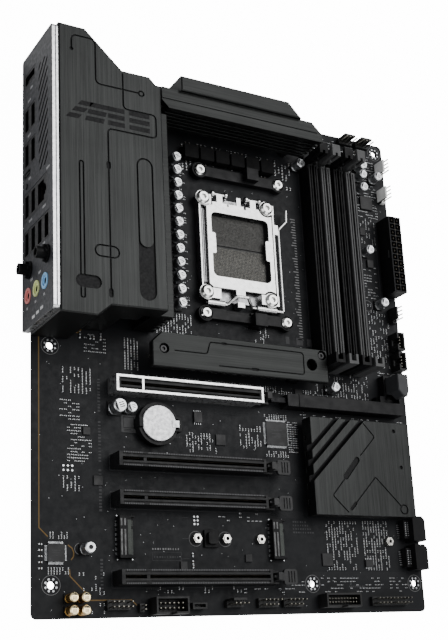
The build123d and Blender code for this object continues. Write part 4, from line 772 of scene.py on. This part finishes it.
# two x, two y, pitch in x and y, size, whether the parts lie along x, and share of places filled
CLUSTERS = [
    ((29, 43), (139, 151), (2.2, 1.9), "small", True, 0.6),
    ((52, 62), (132, 150), (1.9, 1.5), "small", False, 0.85),
    ((16, 34), (116, 132), (2.2, 1.8), "small", False, 0.6),
    ((15, 27), (101, 114), (2.3, 1.7), "small", True, 0.55),
    ((19, 34), (79, 101), (2.0, 1.6), "small", True, 0.75),
    ((16, 27), (64, 73), (2.1, 1.6), "small", False, 0.6),
    ((88, 110), (88, 100), (1.8, 1.6), "small", False, 0.55),
    ((3.4, 7.0), (24, 39), (2.3, 1.5), "medium", True, 0.9),
    ((9, 20), (39.4, 43.6), (1.5, 1.9), "small", False, 0.7),
    ((8, 20), (21.6, 26.0), (1.5, 1.9), "small", False, 0.75),
    ((86, 95), (25, 34), (7.4, 2.0), "medium", False, 0.6),
    ((122, 138), (92, 106), (1.9, 1.7), "small", False, 0.5),
    ((139, 156), (109.6, 114.0), (1.6, 1.9), "small", False, 0.7),
    ((139, 156), (88, 93), (1.6, 1.9), "small", False, 0.6),
    ((155, 163), (91, 111), (1.7, 1.35), "small", True, 0.85),
    ((176, 200), (24, 54), (1.9, 1.9), "small", False, 0.55),
    ((202, 222), (24, 54), (1.9, 1.7), "small", False, 0.7),
    ((188, 216), (126, 147), (2.0, 1.8), "small", False, 0.5),
    ((224, 234), (143, 147), (1.9, 1.7), "small", True, 0.6),
    ((150, 186), (126, 136), (1.7, 1.9), "small", False, 0.75),
    ((66, 150), (126.6, 130.6), (1.7, 1.8), "small", False, 0.7),
    ((136, 147), (156, 168), (1.8, 1.9), "small", False, 0.5),
    ((214, 236), (250, 296), (2.0, 1.9), "small", True, 0.6),
    ((216, 234), (228, 250), (2.1, 2.0), "small", False, 0.45),
    ((216, 232), (194, 222), (2.1, 1.9), "small", True, 0.5),
    ((214, 240), (149, 192), (2.1, 1.9), "small", False, 0.5),
    ((92, 171), (259, 279), (2.6, 2.1), "medium", False, 0.7),
    ((90.4, 96), (170, 266), (2.1, 1.5), "small", True, 0.4),
    ((72, 96), (155, 168), (1.8, 1.6), "small", False, 0.65),
    ((22, 40), (147, 162), (2.0, 1.8), "medium", False, 0.4),
    ((168, 240), (292, 303), (2.1, 1.9), "small", True, 0.45),
    ((60, 120), (12, 16), (2.2, 1.7), "small", False, 0.4),
    ((120, 236), (11, 22), (2.2, 1.9), "small", True, 0.45),
    ((106, 135), (50, 56), (2.6, 2.0), "small", True, 0.35),
    ((24, 40), (2, 24), (2.2, 1.9), "small", False, 0.3),
    ((164, 240), (112, 116), (2.3, 1.7), "small", True, 0.35),
]
for group in CLUSTERS:
    cluster(*group)
small_parts.finish("small_parts", [CERAMIC, DARK_BODY, TIN], "solder")

# --- leads and contacts ---------------------------------------------------------------------------
leads = Piece()
# outer reach from the package's side, lowest and highest height of each step of a gull wing
WING_STEPS = ((0.35, 0.5, 0.75), (0.75, 0.25, 0.5), (1.2, 0.0, 0.22))
WING_STEP, WING_SHARE = 0.45, 0.28


def flat_pack(x, y, size, count, pitch):
    """Gull-wing leads on the four sides of a flat package."""
    half = pitch * WING_SHARE
    for n in range(count):
        along = (n - (count - 1) / 2) * pitch
        for side in (-1, 1):
            for reach, low, high in WING_STEPS:
                near, far = size / 2 + reach - WING_STEP, size / 2 + reach
                a, b = sorted((side * near, side * far))
                leads.box((x + along - half, x + along + half), (y + a, y + b), (low, high))
                leads.box((x + a, x + b), (y + along - half, y + along + half), (low, high))


def two_rows(x, y, width, count, pitch):
    """Leads on the two long sides of a small package."""
    for n in range(count):
        along = (n - (count - 1) / 2) * pitch
        for side in (-1, 1):
            a, b = sorted((side * width / 2, side * (width / 2 + 0.9)))
            leads.box((x + along - 0.2, x + along + 0.2), (y + a, y + b), (0.0, 0.3))


flat_pack(12.6, 32.4, 9.0, 12, 0.66)
flat_pack(146.8, 101.8, 14.0, 25, 0.52)
two_rows(96.0, 108.0, 6.2, 4, 1.27)
two_rows(205.0, 28.0, 4.2, 4, 1.27)
STORAGE_PITCH = 1.27
for y in (31.1, 47.0):
    for n in range(7):
        along = y + STORAGE_PITCH * n
        leads.box((227.9, 229.4), (along - 4.0, along - 3.6), (0.0, 0.4))
leads.finish("chip_leads", [TIN], "solder")

# centre, width and top of each chip that carries a dot and three bars of print
PRINTED_CHIPS = [(12.6, 32.4, 9.0, 1.4), (146.8, 101.8, 14.0, 1.4), (226.8, 260.6, 9.0, 1.2)]
DOT_INSET, DOT_RADIUS = 1.3, 0.45
marks = Piece()
for x, y, length, top in PRINTED_CHIPS:
    inset = length / 2 - DOT_INSET
    marks.disc(x - inset, y - inset, DOT_RADIUS, (top, top + 0.02), sides=16)
    for row in range(3):
        marks.box((x - length * 0.26, x + length * (0.26 - 0.08 * row)),
                  (y + length * (0.12 - 0.14 * row), y + length * (0.15 - 0.14 * row)), (top, top + 0.015))
marks.finish("chip_marks", [FAINT_PRINT], "chip_epoxy")


def beside(middle, side, near, far):
    """Range on one side of a middle line, lower end first."""
    return sorted((middle + side * near, middle + side * far))


# the contacts of slots, sockets and the network port below take the dark contact colour: painted shade
SLOT_CONTACTS, SLOT_PITCH, SLOT_START = 84, 1.0, 3.0
SLOT_KEY, SLOT_KEY_HALF = 14.9, 1.3  # place and half width of the key, a gap in the contacts
for number in range(1, 5):
    low, high = span(f"pcie_slot_{number}")
    middle = (low.y + high.y) / 2
    contacts, notches = Piece(), Piece()
    for n in range(SLOT_CONTACTS):
        x = low.x + SLOT_START + n * SLOT_PITCH
        if abs(x - (low.x + SLOT_KEY)) < SLOT_KEY_HALF:
            continue
        for side in (-1, 1):
            contacts.box((x - 0.24, x + 0.24), beside(middle, side, 0.5, 0.93), (3.0, high.z - 2.6))
            notches.box((x - 0.17, x + 0.17), beside(middle, side, 3.0, 3.7), (high.z, high.z + 0.02))
    contacts.finish(f"slot_contacts_{number}", [SHADED_CONTACT], "post_brass")
    notches.finish(f"slot_notches_{number}", [NOTCH], "slot_plastic")

MEMORY_CONTACTS, MEMORY_PITCH, MEMORY_START = 147, 0.85, 6.6
MEMORY_KEY, MEMORY_KEY_HALF = 68.7, 1.9
for number in range(1, 5):
    low, high = span(f"memory_slot_{number}")
    middle = (low.x + high.x) / 2
    contacts = Piece()
    for n in range(MEMORY_CONTACTS):
        y = low.y + MEMORY_START + MEMORY_PITCH * n
        if abs(y - (low.y + MEMORY_KEY)) < MEMORY_KEY_HALF:
            continue
        for side in (-1, 1):
            contacts.box(beside(middle, side, 0.42, 0.74), (y - 0.2, y + 0.2), (4.0, 8.6))
    contacts.finish(f"memory_contacts_{number}", [SHADED_CONTACT], "post_brass")

CARD_SOCKETS_X, CARD_Y = (46.0, 138.4), 40.7
CARD_CONTACTS, CARD_PITCH = 36, 0.5
SHADED_CONTACT_KIND, GRIP_KIND, FOOT_KIND, BAR_KIND = range(4)
contacts = Piece()
for x in CARD_SOCKETS_X:
    for n in range(CARD_CONTACTS):
        y = CARD_Y - 9.0 + CARD_PITCH * n
        contacts.box((x + 4.6, x + 6.2), (y - 0.14, y + 0.14), (2.5, 2.75), SHADED_CONTACT_KIND)
        contacts.box((x + 4.4, x + 6.35), (y - 0.17, y + 0.17), (4.2, 4.26), GRIP_KIND)
        contacts.box((x + 6.5, x + 8.5), (y - 0.17, y + 0.17), (1.4, 1.5), GRIP_KIND)
        if n % 5 < 3:
            contacts.box((x - 0.9, x), (y - 0.14, y + 0.14), (0.0, 0.3), FOOT_KIND)
    for bar in ((x + 0.5, x + 1.5), (x + 2.5, x + 3.5)):
        for bar_y in ((31.2, 44.6), (46.4, 50.2)):
            contacts.box(bar, bar_y, (4.2, 4.25), BAR_KIND)
    for corner_x in (x + 0.1, x + 8.5):
        for corner_y in (29.4, 52.0):
            contacts.disc(corner_x, corner_y, 0.45, (0.0, 0.3), FOOT_KIND, 12)
contacts.finish("card_socket_contacts", [SHADED_CONTACT, CARD_GRIP, TIN, CARD_BAR], "post_brass")

FIELD_ROWS, FIELD_COLUMNS = 40, 36
FIELD_GAP = (211.5, 213.3)
SPRING_TURN, SPRING_RISE = 0.6, 0.18
# springs in the far half get a darker copy of the metal: painted shade
SPRING_LOOKS = [bare_metal("land_spring", (0.17, 0.16, 0.14), 0.35),
                bare_metal("shaded_far_spring", (0.07, 0.066, 0.06), 0.35)]
low, high = span("socket_contacts")
contacts = Piece()
step_x, step_y = (high.x - low.x) / FIELD_COLUMNS, (high.y - low.y) / FIELD_ROWS
for i in range(FIELD_COLUMNS):
    for j in range(FIELD_ROWS):
        x, y = low.x + (i + 0.5) * step_x, low.y + (j + 0.5) * step_y
        if FIELD_GAP[0] < y < FIELD_GAP[1]:
            continue
        in_shaded_far_half = int(y > FIELD_SPLIT)
        spring_z = (high.z, high.z + SPRING_RISE)
        contacts.turned(x, y, step_x * 0.5, step_y * 0.3, SPRING_TURN, spring_z, in_shaded_far_half)
contacts.finish("processor_contacts", SPRING_LOOKS, "contact_field")

NETWORK_PITCH = 1.02
low, high = span("network_port")
contacts = Piece()
for n in range(8):
    y = (low.y + high.y) / 2 - 3.6 + NETWORK_PITCH * n
    contacts.box((low.x + 1.5, low.x + 9.0), (y, y + 0.5), (22.4, 22.8))
contacts.finish("network_contacts", [SHADED_CONTACT], "post_brass")

# --- tops of the capacitors -----------------------------------------------------------------------
can_marks = Piece()
CAN_PRINT = 0.02  # thickness of the print on a can


def can_mark(x, y, r, top, turn):
    """Printed dark part of a can's top, turned by some degrees, and three short bars beside it."""
    arc = [(x + r * math.cos(math.radians(turn + a)), y + r * math.sin(math.radians(turn + a)))
           for a in range(-62, 63, 8)]
    can_marks.prism(arc, top, top + CAN_PRINT)
    turn = math.radians(turn)
    c, s = math.cos(turn), math.sin(turn)
    for row in (-1, 0, 1):
        shift = row * r * 0.36
        can_marks.turned(x - r * 0.26 * c - shift * s, y - r * 0.26 * s + shift * c,
                         r * 0.9, r * 0.16, turn, (top, top + CAN_PRINT))


POWER_CANS, POWER_CAN_PITCH = 12, 8.24  # cans in a row beside the processor socket
LOOSE_CANS = [(221.9, 284.4), (221.2, 277.6), (221.2, 268.7), (233.2, 278.2), (173.0, 275.7), (221.4, 225.0),
              (229.2, 190.4), (186.1, 131.4)]
SOUND_CANS = [(19.2, 9.9), (25.6, 9.9), (19.2, 3.6), (25.6, 3.6)]
for n in range(POWER_CANS):
    can_mark(86.0, 172.3 + POWER_CAN_PITCH * n, 2.45, 8.0, 205)
for x, y in LOOSE_CANS:
    can_mark(x, y, 2.4, 8.5, 160)
for x, y in SOUND_CANS:
    can_mark(x, y, 1.85, 8.6, 90)
can_marks.disc(28.2, 34.4, 1.2, (8.5, 8.5 + CAN_PRINT))
can_mark(46.0, 109.4, 3.2, 9.0, 200)
can_mark(54.2, 109.6, 2.3, 6.5, 200)
can_marks.finish("can_marks", [inked("can_print", (0.02, 0.02, 0.022), 0.5)], "can_metal")

# --- emblem on the cover, label, port marks -------------------------------------------------------
# leaning bars cut by two gaps: x, width and lean of each bar, and y of each stripe
EMBLEM_BARS = [(3.4, 7.0, 8.0), (14.0, 10.4, 3.0), (27.0, 9.6, 0.0), (39.4, 12.0, 0.0)]
STRIPE_STARTS, STRIPE_WIDTH, LEAN_START = (253.0, 257.2, 261.4), 2.7, 253.4
low, high = span("io_cover")
emblem = Piece()
for x, width, lean in EMBLEM_BARS:
    for bottom in STRIPE_STARTS:
        top = bottom + STRIPE_WIDTH
        left = x + lean * (bottom - LEAN_START) / 10
        skew = lean * STRIPE_WIDTH / 10
        outline = [(left, bottom), (left + width, bottom), (left + width + skew, top), (left + skew, top)]
        emblem.prism(outline, high.z, high.z + 0.05)
emblem.finish("cover_emblem", [INLAY], "brushed_dark")

LABEL_FILM, LABEL_PRINT = (0.0, 0.12), (0.12, 0.14)
label = Piece()
label.box((50.0, 58.6), (96.8, 106.4), LABEL_FILM)
label.ribbon([(51.2, 99.4), (57.4, 99.4), (57.4, 105.2), (51.2, 105.2), (51.2, 99.4)], 0.3, LABEL_PRINT, 1)
for row in range(2):
    label.box((51.4, 57.0 - 1.4 * row), (97.5 + 0.8 * row, 97.8 + 0.8 * row), LABEL_PRINT, 1)
label.finish("plain_label", [inked("label_grey", (0.055, 0.055, 0.056), 0.2), INLAY], "board_laminate")

# plain bars beside the ports, as y, height and how many, and three by the jacks
PORT_MARKS = [(257.0, 8.0, 4), (278.0, 8.0, 4), (284.6, 12.0, 3), (231.0, 9.0, 3), (206.0, 10.0, 4),
              (206.0, 30.0, 4), (185.6, 30.0, 3), (172.0, 12.0, 3), (172.0, 24.0, 3), (158.0, 6.0, 2),
              (158.0, 18.4, 2), (158.0, 30.8, 2), (225.6, 36.0, 4)]
SHIELD_PLANE = min((v.co.x - ORIGIN.x) / MM for v in NODES["io_shield"].data.vertices)
SHIELD_FILM = (SHIELD_PLANE - FILM, SHIELD_PLANE)
port_marks = Piece()
for y, z, count in PORT_MARKS:
    for n in range(count):
        step = 1.2 * n
        port_marks.box(SHIELD_FILM, (y - 0.7 + 0.05 * n, y + 0.7), (z - 2.0 + step, z - 1.5 + step))
for n in range(3):
    port_marks.box(SHIELD_FILM, (150.0 + 0.6 * n, 151.6 + 0.6 * n), (12.0 + 6.0 * n, 16.0 + 6.0 * n))
port_marks.finish("port_marks", [inked("port_print", (0.6, 0.6, 0.61), 0.3)], "shield_steel")

# grey line along the top of the shield's rim
rim_line = Piece()
rim_line.box((SHIELD_HIGH.x - 1.7, SHIELD_HIGH.x - 1.1), (SHIELD_LOW.y + 1.5, SHIELD_HIGH.y - 1.5),
             (SHIELD_HIGH.z, SHIELD_HIGH.z + FILM))
rim_line.finish("rim_line", [inked("rim_grey", (0.09, 0.09, 0.1), 0.3)], "shield_steel")

sata_pins = Piece()
for y in (31.1, 47.85):
    for n in range(7):
        for x in (230.6, 232.4):
            along = y - 3 * STORAGE_PITCH + STORAGE_PITCH * n
            sata_pins.box((x - 0.3, x + 0.3), (along - 0.22, along + 0.22), (5.0, 5.35))
sata_pins.finish("storage_port_pins", [TIN], "solder")

# battery clip: a strap over the cell's edge, bent down beside it
low, high = span("battery")
clip = Piece()
mid_y = (low.y + high.y) / 2
strap_y = (mid_y - 1.9, mid_y + 1.9)
clip.box((high.x - 2.6, high.x + 1.6), strap_y, (high.z + 0.02, high.z + 0.34))
clip.box((high.x + 1.2, high.x + 1.6), strap_y, (3.5, high.z + 0.02))
clip.finish("battery_clip", [TIN], "battery_steel")

# --- stage, light and camera ----------------------------------------------------------------------
# the floor looks as white as a studio sweep, but lights the board no more than pale paper does
FLOOR_GLOW = 14.0
FLOOR_REACH, FLOOR_DROP = 4.0, 0.0002
floor_look = Look("floor", 0.7, specular=0.2)
cloud = floor_look.ranged(floor_look.noise(3), 0.0, 1.0)
floor_look.color(floor_look.mixed(cloud, (0.86, 0.86, 0.86), (0.9, 0.9, 0.9)))
floor_look.shader.inputs["Emission Color"].default_value = (1, 1, 1, 1)
seen = floor_look.nodes.new("ShaderNodeLightPath").outputs["Is Camera Ray"]
glow = floor_look.ranged(seen, 0.0, FLOOR_GLOW, 0.0, 1.0)
floor_look.links.new(glow, floor_look.shader.inputs["Emission Strength"])
floor_z = CAD_BOX[0][2] - FLOOR_DROP
corners = [(i * FLOOR_REACH, j * FLOOR_REACH, floor_z) for i, j in ((-1, -1), (1, -1), (1, 1), (-1, 1))]
floor_mesh = bpy.data.meshes.new("floor")
floor_mesh.from_pydata(corners, [], [(0, 1, 2, 3)])
floor_mesh.materials.append(floor_look.material)
floor = bpy.data.objects.new("floor", floor_mesh)
bpy.context.scene.collection.objects.link(floor)

world = bpy.data.worlds.new("studio")
world.use_nodes = True
background = world.node_tree.nodes["Background"]
background.inputs["Color"].default_value = (0.95, 0.97, 1.0, 1.0)
background.inputs["Strength"].default_value = 0.34
bpy.context.scene.world = world

TARGET = at(150.2, 155.4)


def direction(azimuth, elevation):
    """Unit vector at an azimuth from x and an elevation above the board, in degrees."""
    a, e = math.radians(azimuth), math.radians(elevation)
    return Vector((math.cos(a) * math.cos(e), math.sin(a) * math.cos(e), math.sin(e)))


def softbox(name, azimuth, elevation, distance, size, power):
    """Square area light aimed at the middle of the board."""
    lamp = bpy.data.lights.new(name, "AREA")
    lamp.shape = "SQUARE"
    lamp.size = size
    lamp.energy = power
    thing = bpy.data.objects.new(name, lamp)
    thing.location = TARGET + distance * direction(azimuth, elevation)
    thing.rotation_euler = (TARGET - thing.location).to_track_quat("-Z", "Y").to_euler()
    bpy.context.scene.collection.objects.link(thing)


softbox("key", 44, 57, 1.3, 1.0, 11)
softbox("top", 8, 74, 1.3, 0.7, 2.5)
softbox("side", 200, 28, 1.2, 0.8, 4)
softbox("front", -70, 35, 1.2, 0.8, 4)

# the camera looks along this azimuth and down by this elevation, is rolled, and is this far from TARGET
CAMERA_AZIMUTH, CAMERA_ELEVATION, CAMERA_ROLL, CAMERA_DISTANCE = 29.625, 53.999, 61.603, 0.6848
SENSOR, FOCAL = 36.0, 65.03
SHIFT = (-0.0797, 0.0406)
forward = direction(CAMERA_AZIMUTH, -CAMERA_ELEVATION)
roll = math.radians(CAMERA_ROLL)
level_right = forward.cross(Vector((0, 0, 1))).normalized()
level_up = level_right.cross(forward)
right = math.cos(roll) * level_right + math.sin(roll) * level_up
up = math.cos(roll) * level_up - math.sin(roll) * level_right
camera_data = bpy.data.cameras.new("camera")
camera_data.sensor_width = SENSOR
camera_data.lens = FOCAL
camera_data.shift_x, camera_data.shift_y = SHIFT
camera = bpy.data.objects.new("camera", camera_data)
turned = Matrix((right, up, -forward)).transposed().to_4x4()
camera.matrix_world = Matrix.Translation(TARGET - CAMERA_DISTANCE * forward) @ turned
bpy.context.scene.collection.objects.link(camera)
bpy.context.scene.camera = camera
